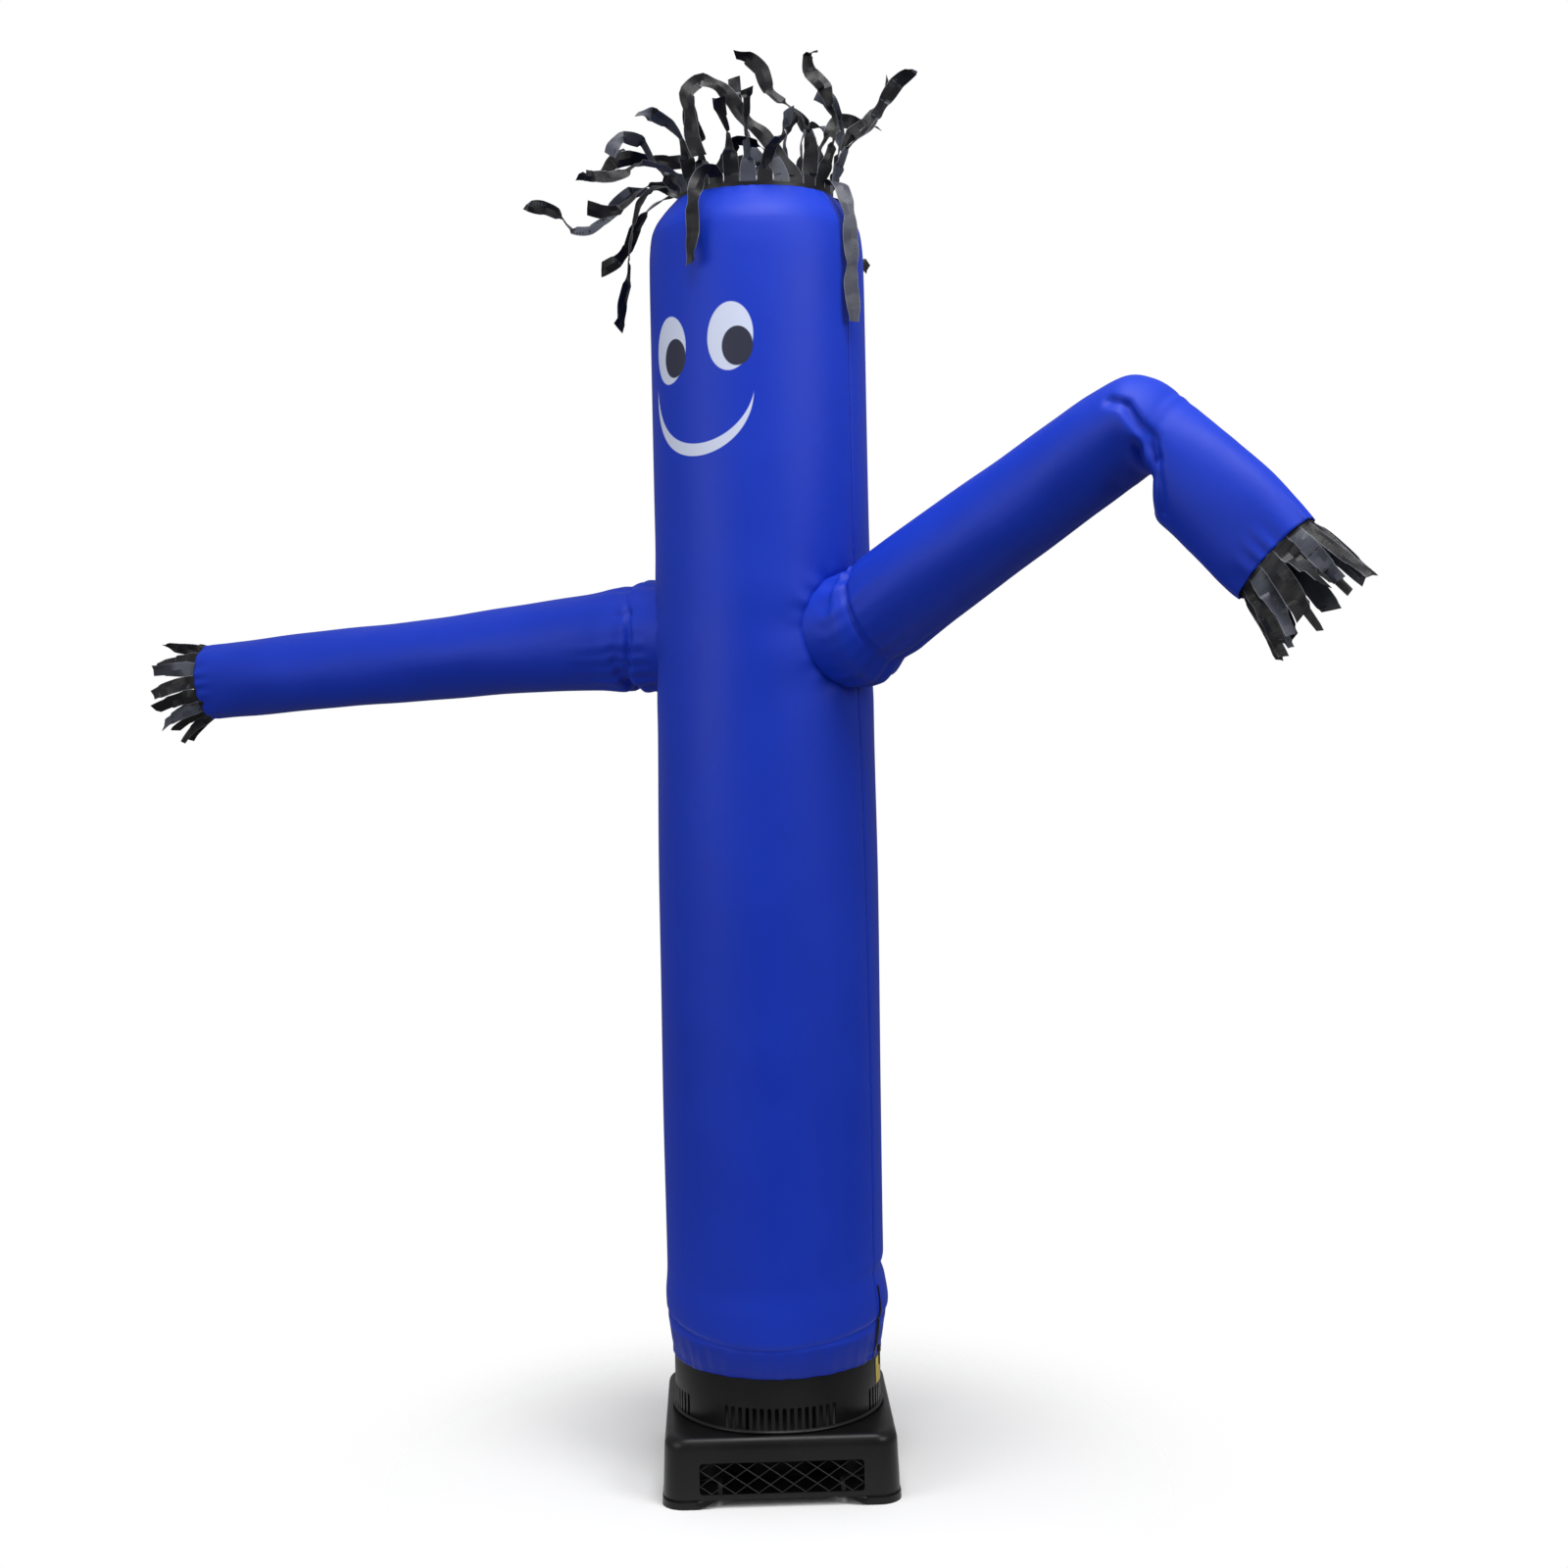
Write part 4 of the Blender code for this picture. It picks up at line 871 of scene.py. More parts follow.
def cloth_finish(tree, shader, look, sheen, specular, crumple, weave):
    """What the cloths share: a soft sheen, and their creases and threads as bumps."""
    for word, value in zip(("Weight", "Roughness", "Tint"), sheen):
        shader.inputs["Sheen " + word].default_value = value
    shader.inputs["Specular IOR Level"].default_value = specular
    creases = node(tree, "Bump", {"Height": look.outputs["Crumple"], "Strength": crumple[0],
                                  "Distance": crumple[1]})
    threads = node(tree, "Bump", {"Height": look.outputs["Weave"], "Strength": weave,
                                  "Distance": THREAD_DEPTH, "Normal": creases.outputs[0]})
    into(tree, threads.outputs[0], shader, "Normal")


def blue_nylon(name, print_on=None):
    """Coated nylon: two close blues in soft clouds, a fine weave and a slight crumple, with painted shade
    darkening the hem where it draws in; print_on may lay its colours over the blue."""
    material, tree, shader = material_of(name)
    place = node(tree, "UVMap", uv_map="cloth").outputs[0]
    look = use(tree, cloth_weave, Place=place, Threads=THREADS)
    tint = blended(tree, ramp(tree, look.outputs["Cloud"], 0.35, 0.65), CLOTH_DEEP, CLOTH_PALE)
    tint = blended(tree, ramp(tree, look.outputs["Weave"], -1.0, 1.0, 0.0, 0.10), tint, THREAD_BLUE)
    # Painted shade: below the hem's fold the blue is blended part-way to a darker blue, where the cloth draws
    # in under the tube.
    above = node(tree, "SeparateXYZ", {0: place}).outputs[1]
    tint = blended(tree, ramp(tree, above, *HEM_SHADE_HEIGHTS, 0.6, 0.0), tint, HEM_PAINTED_SHADE)
    if print_on:
        tint = print_on(tree, place, tint)
    into(tree, tint, shader, "Base Color")
    into(tree, ramp(tree, look.outputs["Cloud"], 0.3, 0.7, *CLOTH_ROUGHNESS), shader, "Roughness")
    cloth_finish(tree, shader, look, (0.03, 0.45, (0.35, 0.5, 1.0, 1.0)), 0.26, (0.14, 0.0025), 0.15)
    return material


# The face is printed on the front of the head: two white eyes with dark pupils, and a white crescent
# for the smile. Places are arcs round the tube and heights, in metres.
PRINT_WHITE = (0.560, 0.612, 0.778, 1.0)
PRINT_DARK = (0.0235, 0.0255, 0.0480, 1.0)
EYES = (
    # bearing, height, half_wide, half_tall, lean_deg
    (-16.0, 2.346, 0.0485, 0.0690, 4.5),
    (-54.8, 2.330, 0.0485, 0.0690, 4.5),
)
PUPILS = (
    # bearing, height, half_wide, half_tall, lean_deg
    (-12.0, 2.3257, 0.0323, 0.0398, 3.0),
    (-50.7, 2.3124, 0.0320, 0.0397, 3.0),
)
SMILE_BEARING = -36.3
SMILE_OUTER = (2.2365, 0.1275)
SMILE_INNER = (2.2631, 0.1291)
SMILE_LEAN = -5.6
PRINT_EDGE = 0.0012


def oval(tree, place, centre, half_wide, half_tall, lean_deg):
    """1 inside an ellipse and 0 outside, with a soft edge: the place is turned upright, its distances are
    divided by the half axes, and their length is compared with 1."""
    moved = node(tree, "VectorMath", {0: place, 1: (-centre[0], -centre[1], 0.0)}, operation="ADD").outputs[0]
    turning = {"Vector": moved, "Angle": math.radians(lean_deg)}
    spun = node(tree, "VectorRotate", turning, rotation_type="Z_AXIS").outputs[0]
    shares = {0: spun, 1: (1.0 / half_wide, 1.0 / half_tall, 0.0)}
    scaled = node(tree, "VectorMath", shares, operation="MULTIPLY").outputs[0]
    length = node(tree, "VectorMath", {0: scaled}, operation="LENGTH").outputs["Value"]
    soft = PRINT_EDGE / half_wide
    return ramp(tree, length, 1.0 - soft, 1.0 + soft, 1.0, 0.0)


def face_print(tree, place, blue):
    """Lay the smile, the whites and the pupils over the blue."""
    arc = math.radians(SMILE_BEARING) * ARC_RADIUS
    lean = math.radians(SMILE_LEAN)
    gap = SMILE_INNER[0] - SMILE_OUTER[0]
    inner_centre = (arc - gap * math.sin(lean), SMILE_OUTER[0] + gap * math.cos(lean))
    outer = oval(tree, place, (arc, SMILE_OUTER[0]), SMILE_OUTER[1], SMILE_OUTER[1], 0.0)
    inner = oval(tree, place, inner_centre, SMILE_INNER[1], SMILE_INNER[1], 0.0)
    smile = worked(tree, "MULTIPLY", outer, worked(tree, "SUBTRACT", 1.0, inner))
    tint = blended(tree, smile, blue, PRINT_WHITE)
    for colour, marks in ((PRINT_WHITE, EYES), (PRINT_DARK, PUPILS)):
        for bearing, height, half_wide, half_tall, lean_deg in marks:
            centre = (math.radians(bearing) * ARC_RADIUS, height)
            tint = blended(tree, oval(tree, place, centre, half_wide, half_tall, lean_deg), tint, colour)
    return tint


printed_nylon = blue_nylon("blue_cloth_printed", face_print)
plain_nylon = blue_nylon("blue_cloth")
for name, start, nylon, stands_for in (("front_panel", -180.0, printed_nylon, "body_front"),
                                       ("back_panel", 0.0, plain_nylon, "body_back")):
    panel = tube_panel(name, start, nylon)
    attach(panel, "root")
    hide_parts(stands_for)

# Each sleeve is one piece of the same nylon, sewn into its armhole with a puff at the root and open at
# the cuff. The right one is folded at the elbow, and its forearm hangs flattened beyond the fold.
RIGHT_SLEEVE = (
    # reach, height, facing_deg, half_width, up, down
    (0.180, 1.752, 0.0, 0.1165, 0.1165, 0.1165),
    (0.240, 1.752, 0.0, 0.1165, 0.1165, 0.1165),
    (0.266, 1.762, 9.0, 0.1170, 0.1200, 0.1190),
    (0.298, 1.783, 20.0, 0.1080, 0.1030, 0.0980),
    (0.338, 1.810, 27.0, 0.1080, 0.1080, 0.1040),
    (0.460, 1.882, 26.5, 0.1050, 0.1050, 0.1040),
    (0.620, 1.969, 26.0, 0.1010, 0.1015, 0.1010),
    (0.760, 2.048, 25.0, 0.0980, 0.0980, 0.0975),
    (0.839, 2.092, 17.0, 0.0970, 0.0965, 0.0960),
    (0.896, 2.115, 6.0, 0.0970, 0.0945, 0.0945),
    (0.925, 2.106, 1.5, 0.0940, 0.0937, 0.0937),
    (0.9485, 2.077, -10.5, 0.0880, 0.0938, 0.0938),
    (0.953, 2.051, -17.3, 0.0830, 0.1075, 0.1075),
    (0.970, 2.032, -21.6, 0.0800, 0.1080, 0.1080),
    (1.004, 2.003, -23.6, 0.0750, 0.1070, 0.1070),
    (1.042, 1.969, -23.5, 0.0700, 0.1085, 0.1085),
    (1.091, 1.924, -28.0, 0.0630, 0.1080, 0.1080),
    (1.130, 1.886, -37.0, 0.0570, 0.1030, 0.1030),
    (1.163, 1.853, -45.5, 0.0520, 0.0966, 0.0966),
)
LEFT_SLEEVE = (
    # reach, height, facing_deg, half_width, up, down
    (0.180, 1.752, 0.0, 0.1165, 0.1165, 0.1165),
    (0.240, 1.752, 0.0, 0.1165, 0.1165, 0.1165),
    (0.276, 1.751, -1.0, 0.1170, 0.1200, 0.1190),
    (0.310, 1.750, -2.0, 0.1130, 0.1090, 0.0970),
    (0.338, 1.748, -3.6, 0.1120, 0.1120, 0.1130),
    (0.400, 1.744, -3.6, 0.1060, 0.1060, 0.1060),
    (0.600, 1.731, -3.6, 0.0980, 0.0980, 0.0980),
    (0.850, 1.715, -3.6, 0.0945, 0.0945, 0.0945),
    (1.120, 1.698, -3.6, 0.0905, 0.0910, 0.0910),
    (1.350, 1.684, -3.6, 0.0820, 0.0895, 0.0895),
    (1.515, 1.673, -3.6, 0.0660, 0.0885, 0.0885),
)
RIGHT_FOLDS = (
    # half_width, depth, line of (reach, height)
    (0.010, 0.011, ((0.880, 2.152), (0.915, 2.142), (0.940, 2.106), (0.964, 2.076), (0.968, 2.040))),
    (0.009, 0.008, ((0.968, 2.040), (0.972, 1.990), (0.970, 1.945))),
    (0.007, 0.006, ((0.912, 2.140), (0.960, 2.056))),
    (0.018, 0.042, ((0.872, 1.990), (0.936, 2.008), (0.926, 1.956))),
    (0.012, 0.026, ((0.930, 2.062), (0.928, 2.030))),
    (0.006, 0.009, ((0.262, 1.882), (0.298, 1.783), (0.336, 1.684))),
)
LEFT_FOLDS = (
    # half_width, depth, line of (reach, height)
    (0.006, 0.012, ((0.300, 1.850), (0.270, 1.800), (0.263, 1.745), (0.276, 1.690), (0.308, 1.655))),
    (0.006, 0.006, ((0.266, 1.800), (0.300, 1.794))),
)
SLEEVE_WAVES = (
    # depth, times_round, per_metre, start, fade_per_metre, fade_start
    (0.0016, 2.0, 7.0, 0.0, 0.0, 0.0),
    (0.0012, 3.0, -11.0, 0.0, 0.0, 0.0),
    (0.0007, 5.0, 23.0, 0.0, 9.0, 0.0),
)
ROOT_PLEATS = (19.0, 1.6, 3.0)
ROOT_DEPTH = 0.0031
ROOT_START = (0.03, 0.03)
ROOT_END = (0.30, 0.22)
CUFF_PLEATS = (15.0, 2.0, 4.0)
CUFF_DEPTH = 0.0018
CUFF_FADE = 0.07
SLEEVE_SEAM = (0.0016, 0.03)
SLEEVE_SIDES = 112
SLEEVE_ROWS = 240
SLEEVE_FLATS = ((0.640, 1.270), (0.630, 1.380))
WALK_POINTS = 2000
PAST_THE_TUBE = 4.0
UP = np.array([0.0, 0.0, 1.0])


def sleeve_rows(table, rows):
    """The table's values on evenly spaced rows: the row number is read against the length walked along
    the middle line, and each column is followed smoothly by row number."""
    numbered = [(index,) + row for index, row in enumerate(table)]
    fine = np.linspace(0.0, len(table) - 1.0, WALK_POINTS)
    reach, height = through(fine, numbered, 1), through(fine, numbered, 2)
    walked = np.concatenate([[0.0], np.cumsum(np.hypot(np.diff(reach), np.diff(height)))])
    at = np.interp(np.linspace(0.0, walked[-1], rows), walked, fine)
    columns = [through(at, numbered, column)[:, None] for column in range(1, 7)]
    return columns, np.interp(at, fine, walked)[:, None]


def near_line(reach, height, line, width):
    """How near each place is to a bent line: exp(-(d / width)^2) of the distance to its nearest piece."""
    nearest = np.full(reach.shape, 9.0)
    for (x0, z0), (x1, z1) in zip(line, line[1:]):
        wide, tall = x1 - x0, z1 - z0
        share = ((reach - x0) * wide + (height - z0) * tall) / (wide ** 2 + tall ** 2)
        share = np.clip(share, 0.0, 1.0)
        nearest = np.minimum(nearest, np.hypot(reach - x0 - share * wide, height - z0 - share * tall))
    return bell(nearest, width)


def sleeve_directions(bearing, facing):
    """Outwards along the sleeve, up across it and level across it, as arrays of directions."""
    out = around(bearing, 1.0, 0.0)
    facing = np.radians(facing)[..., None]
    along = out * np.cos(facing) + UP * np.sin(facing)
    upward = -out * np.sin(facing) + UP * np.cos(facing)
    return along, upward, np.cross(along, upward)


def sleeve(name, bearing, table, folds, camera_side, material):
    """Half ellipses above and below each place of the middle line, joined into a tube; pleats at the root
    and the cuff, slow unevenness, a seam below, and folds pressed in on the side towards the camera."""
    (reach, height, facing, half_width, up, down), walked = sleeve_rows(table, SLEEVE_ROWS)
    turn = np.linspace(0.0, 2.0 * np.pi, SLEEVE_SIDES, endpoint=False)[None, :]
    root = eased_step((walked - ROOT_START[0]) / ROOT_START[1])
    root = root * eased_step((ROOT_END[0] - walked) / ROOT_END[1])
    pleats = gathers(turn, *ROOT_PLEATS) * (0.55 + 0.45 * np.sin(2.0 * turn + 0.7))
    cuff = eased_step((walked - walked[-1, 0]) / CUFF_FADE + 1.0)
    relief = ROOT_DEPTH * root * pleats + uneven(turn, walked, SLEEVE_WAVES)
    relief = relief + CUFF_DEPTH * cuff * gathers(turn, *CUFF_PLEATS)
    relief = relief - SLEEVE_SEAM[0] * bell(turn - np.pi, SLEEVE_SEAM[1])
    tall = np.where(np.cos(turn) >= 0.0, up, down)
    lift, swing = (tall + relief) * np.cos(turn), (half_width + relief) * np.sin(turn)
    slope = np.radians(facing)
    place_reach = reach - np.sin(slope) * lift
    place_height = height + np.cos(slope) * lift
    towards = np.clip(camera_side * np.sin(turn), 0.0, 1.0) ** 0.5
    pressed = 0.0
    for width, depth, line in folds:
        pressed = pressed + depth * near_line(place_reach, place_height, line, width)
    swing = swing - camera_side * pressed * towards
    centre = around(bearing, reach, height)
    along, upward, level = sleeve_directions(bearing, facing)
    points = centre + upward * lift[..., None] + level * swing[..., None]
    girth = np.pi * (half_width + (up + down) / 2.0)
    across = girth * np.linspace(0.0, 1.0, SLEEVE_SIDES + 1)[None, :]
    lengthwise = np.broadcast_to(walked, across.shape) + PAST_THE_TUBE
    piece = cloth_sheet(name, points, True, across, lengthwise, material)
    wall_of(piece, CLOTH)
    return piece


for side, bearing, table, folds, camera_side, flat in (
        ("right", ARMHOLE_BEARINGS[0], RIGHT_SLEEVE, RIGHT_FOLDS, 1.0, SLEEVE_FLATS[0]),
        ("left", ARMHOLE_BEARINGS[1], LEFT_SLEEVE, LEFT_FOLDS, -1.0, SLEEVE_FLATS[1])):
    arm = sleeve(f"{side}_sleeve", bearing, table, folds, camera_side, plain_nylon)
    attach(arm, "root")
    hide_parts(f"sleeve_{side}")

# The hair is a band of black nylon sewn inside the head's mouth and cut into thirty ribbons, which the
# rising air and their own creases bend every way.
HAIR_BAND = (0.1638, 2.650, 2.672)
RIBBON_WIDE = 0.026
STRIP_CORNERS = (0.02, 0.5, 0.98, 1.02, 1.5, 1.98, 0.02)
STRIP_ALONG = (0.01, 0.3)
HAIR_START = -174.0
HAIR_RISE = 0.010
HAIR_OVERLAP = 0.004
STRIP_SHARE = 0.97
RIBBON_CLOTH = 0.0007
RIBBON_STEPS = 60
RIBBON_SPREAD = (0.15, 0.97)
SLANT = (0.45, 0.030)
FOLD_GAP = 0.042
FOLD_TURN = 0.22
FOLD_STAGGER = 0.37
FOLDED_TWIST = 0.75
PINCH_GAP = 0.11
PINCH_STAGGER = 2.3
PINCH_DEPTH = 0.85
TURN_TO_FRONT = 0.14
CREASE_DEPTH = 0.34
CREASE_PER_METRE = 17.0 / 0.3
RIBBON_SHARP = 24.0
HAIR_TWIST = 2.4
HAIR_PINCH = 0.30
HAIR_FOLDED = 0.65
HAIR_SIDE_STEP = 5.0 / 6.0 * np.pi
HEADING_KINKS = (13.0, 44.0, 2.9)
LIFT_KINKS = (9.0, 58.0, 1.7)
BAND_SIDES = 120
RIBBON_BLACK = (0.0045, 0.0045, 0.0062, 1.0)
# Painted sheen: the grey put on one side of some ribbons in place of light on the satin.
RIBBON_SHEEN_GREY = (0.052, 0.057, 0.076, 1.0)
# Painted highlight: the pale colour given to the ribbons' cut edges where they would catch the light.
RIBBON_EDGE_HIGHLIGHT = (0.22, 0.23, 0.27, 1.0)
HAIR = (
    # heading_deg, sway_deg, length, lift_0, lift_1, lift_2, lift_3, lift_4, twist_deg
    (178.0, 20.0, 0.28, 85.0, 60.0, 20.0, -25.0, -50.0, 60.0),
    (-98.0, -25.0, 0.33, 62.0, 50.0, 10.0, 5.0, 50.0, 100.0),
    (-150.0, -10.0, 0.30, 80.0, 30.0, -10.0, -50.0, -20.0, 80.0),
    (-112.0, -15.0, 0.33, 40.0, -10.0, -50.0, -55.0, 5.0, 80.0),
    (-97.0, -12.0, 0.44, 40.0, -5.0, -52.0, 42.0, 12.0, 150.0),
    (-90.0, 4.0, 0.24, 70.0, 20.0, -40.0, -30.0, 20.0, -90.0),
    (-101.0, 4.0, 0.38, 45.0, -58.0, -86.0, -80.0, -72.0, 60.0),
    (-80.0, 20.0, 0.27, 70.0, 45.0, -10.0, -40.0, -5.0, 120.0),
    (-82.0, 20.0, 0.22, 60.0, 42.0, 55.0, 20.0, -75.0, 90.0),
    (-74.0, 24.0, 0.25, 60.0, 15.0, -28.0, -20.0, 10.0, -80.0),
    (-58.0, 25.0, 0.22, 85.0, 70.0, 45.0, 10.0, -20.0, 90.0),
    (-44.0, 30.0, 0.18, 88.0, 75.0, 60.0, 70.0, 60.0, 120.0),
    (-38.0, 0.0, 0.25, 45.0, -50.0, -82.0, -84.0, -86.0, 20.0),
    (-30.0, 20.0, 0.20, 88.0, 80.0, 65.0, 30.0, -10.0, 80.0),
    (-8.0, 10.0, 0.17, 88.0, 70.0, 85.0, 70.0, 60.0, -70.0),
    (40.0, -20.0, 0.17, 85.0, 60.0, 30.0, 20.0, 10.0, 60.0),
    (-97.0, -4.0, 0.22, 80.0, 60.0, 10.0, -50.0, -66.0, 90.0),
    (-82.0, 4.0, 0.45, 50.0, 48.0, 48.0, -92.0, -112.0, 8.0),
    (-92.0, -10.0, 0.33, 95.0, 88.0, 34.0, 66.0, 24.0, -100.0),
    (80.0, -15.0, 0.31, 66.0, 76.0, 112.0, 128.0, 4.0, 110.0),
    (28.0, 8.0, 0.355, 6.0, -64.0, -88.0, -90.0, -86.0, -10.0),
    (86.0, -10.0, 0.30, 72.0, 62.0, 40.0, 66.0, 20.0, 100.0),
    (98.0, 15.0, 0.23, 80.0, 74.0, 90.0, 126.0, 170.0, 80.0),
    (100.0, 20.0, 0.30, 80.0, 74.0, 40.0, 50.0, 84.0, -120.0),
    (114.0, 0.0, 0.19, 40.0, -40.0, -74.0, -66.0, -50.0, 60.0),
    (110.0, 20.0, 0.31, 88.0, 82.0, 50.0, 4.0, -14.0, 120.0),
    (124.0, 15.0, 0.30, 96.0, 98.0, 70.0, -10.0, -24.0, 80.0),
    (110.0, 30.0, 0.34, 96.0, 98.0, 88.0, -30.0, -78.0, -90.0),
    (-98.0, -20.0, 0.31, 72.0, 66.0, 68.0, 76.0, 78.0, 160.0),
    (170.0, 20.0, 0.24, 88.0, 70.0, 50.0, 0.0, -30.0, -60.0),
)


def black_ribbon_cloth():
    """Black nylon, with painted sheen as grey on one side: across a ribbon the UV map runs 0 to 1 on the
    black side and 1 to 2 on the side painted grey as sheen, and painted highlights make the cut edges paler."""
    material, tree, shader = material_of("black_ribbon")
    place = node(tree, "UVMap", uv_map="cloth").outputs[0]
    parts = node(tree, "SeparateXYZ", {0: place})
    # Painted sheen: the UV's second half marks the side that is painted grey as the satin's sheen.
    painted_sheen_side = worked(tree, "GREATER_THAN", parts.outputs[0], 1.0)
    inside = worked(tree, "FRACT", parts.outputs[0])
    from_middle = worked(tree, "ABSOLUTE", worked(tree, "SUBTRACT", inside, 0.5))
    shares = {0: place, 1: (RIBBON_WIDE, 1.0, 0.0)}
    stretched = node(tree, "VectorMath", shares, operation="MULTIPLY").outputs[0]
    look = use(tree, cloth_weave, Place=stretched, Threads=THREADS)
    tint = blended(tree, painted_sheen_side, RIBBON_BLACK, RIBBON_SHEEN_GREY)
    tint = blended(tree, ramp(tree, look.outputs["Cloud"], 0.45, 0.7, 0.0, 0.06), tint, RIBBON_SHEEN_GREY)
    # Painted highlight: near both edges of a strip the colour blends towards a pale grey.
    tint = blended(tree, ramp(tree, from_middle, 0.440, 0.470, 0.0, 0.8), tint, RIBBON_EDGE_HIGHLIGHT)
    into(tree, tint, shader, "Base Color")
    into(tree, ramp(tree, look.outputs["Crumple"], 0.3, 0.7, 0.36, 0.5), shader, "Roughness")
    cloth_finish(tree, shader, look, (0.06, 0.4), 0.30, (0.5, 0.003), 0.2)
    return material


black_ribbon = black_ribbon_cloth()


def unit(vectors):
    """Vectors scaled to length 1."""
    return vectors / np.linalg.norm(vectors, axis=-1, keepdims=True)


def folded(share, length):
    """The share along each ribbon, held nearly still between folds and hurried on at each of them."""
    count = length[:, None] / FOLD_GAP
    place = share * count + FOLD_STAGGER * np.arange(len(length))[:, None] % 1.0
    whole = np.floor(place)
    return (whole + eased_step((place - whole - 1.0 + FOLD_TURN) / FOLD_TURN)) / count


def quickness(share, length):
    """How fast each ribbon twists, 0 to 1: a cosine wave along it, one for each pinch gap, whose start
    differs from ribbon to ribbon. Gives it with the wave's angle and its start."""
    start = PINCH_STAGGER * np.arange(len(length))[:, None]
    angle = 2.0 * np.pi * share * (length / PINCH_GAP)[:, None] + start
    return 0.5 - 0.5 * np.cos(angle), angle, start


def ribbon_paths(root, across, ways, length, twist):
    """Middle points and width directions of ribbons walked step by step along their ways. Each broad side
    turns a little more to the front at every step, and is then twisted about the way, quickly and slowly
    by turns."""
    steps = ways.shape[1]
    share = np.arange(1, steps + 1)[None, :] / steps
    share = (1.0 - FOLDED_TWIST) * share + FOLDED_TWIST * folded(share, length)
    angle, start = quickness(share, length)[1:]
    waves = 2.0 * np.pi * (length / PINCH_GAP)[:, None]
    turn = np.radians(twist)[:, None] * (share - PINCH_DEPTH * (np.sin(angle) - np.sin(start)) / waves)
    middles, widths = [root], [across]
    for step in range(steps):
        way = ways[:, step]
        across = unit(across - way * np.sum(across * way, -1, keepdims=True))
        broad = np.cross(way, np.array([0.0, 1.0, 0.0]))
        broad = np.where(np.sum(broad * across, -1, keepdims=True) < 0.0, -broad, broad)
        across = unit(across + TURN_TO_FRONT * broad)
        now = turn[:, step:step + 1]
        root = root + way * (length / steps)[:, None]
        middles.append(root)
        widths.append(across * np.cos(now) + np.cross(way, across) * np.sin(now))
    return np.stack(middles, 1), np.stack(widths, 1)


def strip_sections(base, middles, widths, ways, length, half, spread, pinched):
    """Six-point sections of flat strips [ribbon, step, corner], with a crease along the middle, drawn in
    where the strip twists quickly and cut off slanting; the first section stands at the base."""
    count, steps = middles.shape[:2]
    number = np.arange(count)[:, None]
    share = np.linspace(0.0, 1.0, steps)[None, :]
    opening = eased_step(share / RIBBON_SPREAD[0])
    pinch = 1.0 - pinched * opening * quickness(share, length)[0] ** 3
    wide = half[:, None] * (1.0 + (spread - 1.0) * opening) * pinch
    ways = np.concatenate([ways[:, :1], ways], 1)
    thick = np.cross(ways, widths)
    crease = CREASE_DEPTH * np.sin(number * 2.1 + CREASE_PER_METRE * share * length[:, None])
    crease = crease * np.minimum(1.0, 6.0 * share) * wide
    near_tip = np.clip(1.0 - (1.0 - share) * length[:, None] / SLANT[1], 0.0, 1.0)
    slant = SLANT[0] * near_tip * np.sin(number * 1.7 + 0.5)
    sections = []
    for place, side in ((-1.0, -0.5), (0.0, -0.5), (1.0, -0.5), (1.0, 0.5), (0.0, 0.5), (-1.0, 0.5)):
        out = (wide * place)[..., None]
        bow = (RIBBON_CLOTH * side + crease * (1.0 - abs(place)))[..., None]
        sections.append(middles + widths * out + ways * out * slant[..., None] + thick * bow)
    sections = np.stack(sections, 2)
    first = base[:, None, :] + sections[:, 0] - middles[:, :1]
    return np.concatenate([first[:, None], sections], 1)


def strip_map(count, steps, grey):
    """UV corners of the strips' sides [ribbon, step, side, corner]: across runs 0 to 1 on the side that
    stays black and 1 to 2 on the side painted grey as sheen; -1 in grey puts the painted sheen on the other
    side and 0 leaves both sides black."""
    walked = np.concatenate([[0.0], np.linspace(*STRIP_ALONG, steps - 1)])
    sides = np.arange(6)[:, None] + np.array([0, 1, 1, 0])
    u = np.array(STRIP_CORNERS)[sides]
    v = np.stack([walked[:-1], walked[:-1], walked[1:], walked[1:]], -1)
    grey = grey[:, None, None, None]
    u = np.broadcast_to(u, (count, steps - 1, 6, 4))
    u = np.where(grey < 0, (u + 1.0) % 2.0, u)
    u = np.where(grey == 0, u % 1.0, u)
    v = np.broadcast_to(v[None, :, None], u.shape) + FOLD_STAGGER * np.arange(count)[:, None, None, None]
    return np.stack([u.ravel(), v.ravel()], -1)


def ribbons(name, sections, grey, band):
    """Ribbons through their sections, closed at both ends, and the closed band given by its four rims, in
    one mesh."""
    count, steps = sections.shape[:2]
    ring = np.arange(6)
    beside = (ring + 1) % 6
    sides = np.stack([ring, beside, beside + 6, ring + 6], -1)
    first = 6 * steps * np.arange(count)[:, None]
    starts = first + 6 * np.arange(steps - 1)[None, :]
    faces = (sides[None, None] + starts[..., None, None]).reshape(-1, 4).tolist()
    faces.extend((first + ring[None, ::-1]).tolist())
    faces.extend((first + 6 * (steps - 1) + ring[None, :]).tolist())
    rims = band.shape[0]
    band_quads = grid_faces(5, rims, True).reshape(-1, 4) % (4 * rims) + 6 * steps * count
    faces.extend(band_quads.tolist())
    places = [strip_map(count, steps, grey), np.tile([0.5, 0.0], (12 * count, 1)),
              np.tile([[0.3, 0.0], [0.31, 0.0], [0.31, 0.02], [0.3, 0.02]], (len(band_quads), 1))]
    points = np.concatenate([sections.reshape(-1, 3), band.transpose(1, 0, 2).reshape(-1, 3)])
    piece = mesh_object(name, points, faces, black_ribbon)
    layer = piece.data.uv_layers.new(name="cloth")
    layer.data.foreach_set("uv", np.concatenate(places).ravel())
    return sharpened(piece, RIBBON_SHARP)


def kinks(reach, share, size, per_metre, stagger):
    """Small bends to either side along each ribbon, growing over its first quarter."""
    number = np.arange(len(reach))[:, None]
    return size * np.minimum(1.0, 4.0 * share) * np.sin(per_metre * reach + stagger * number)


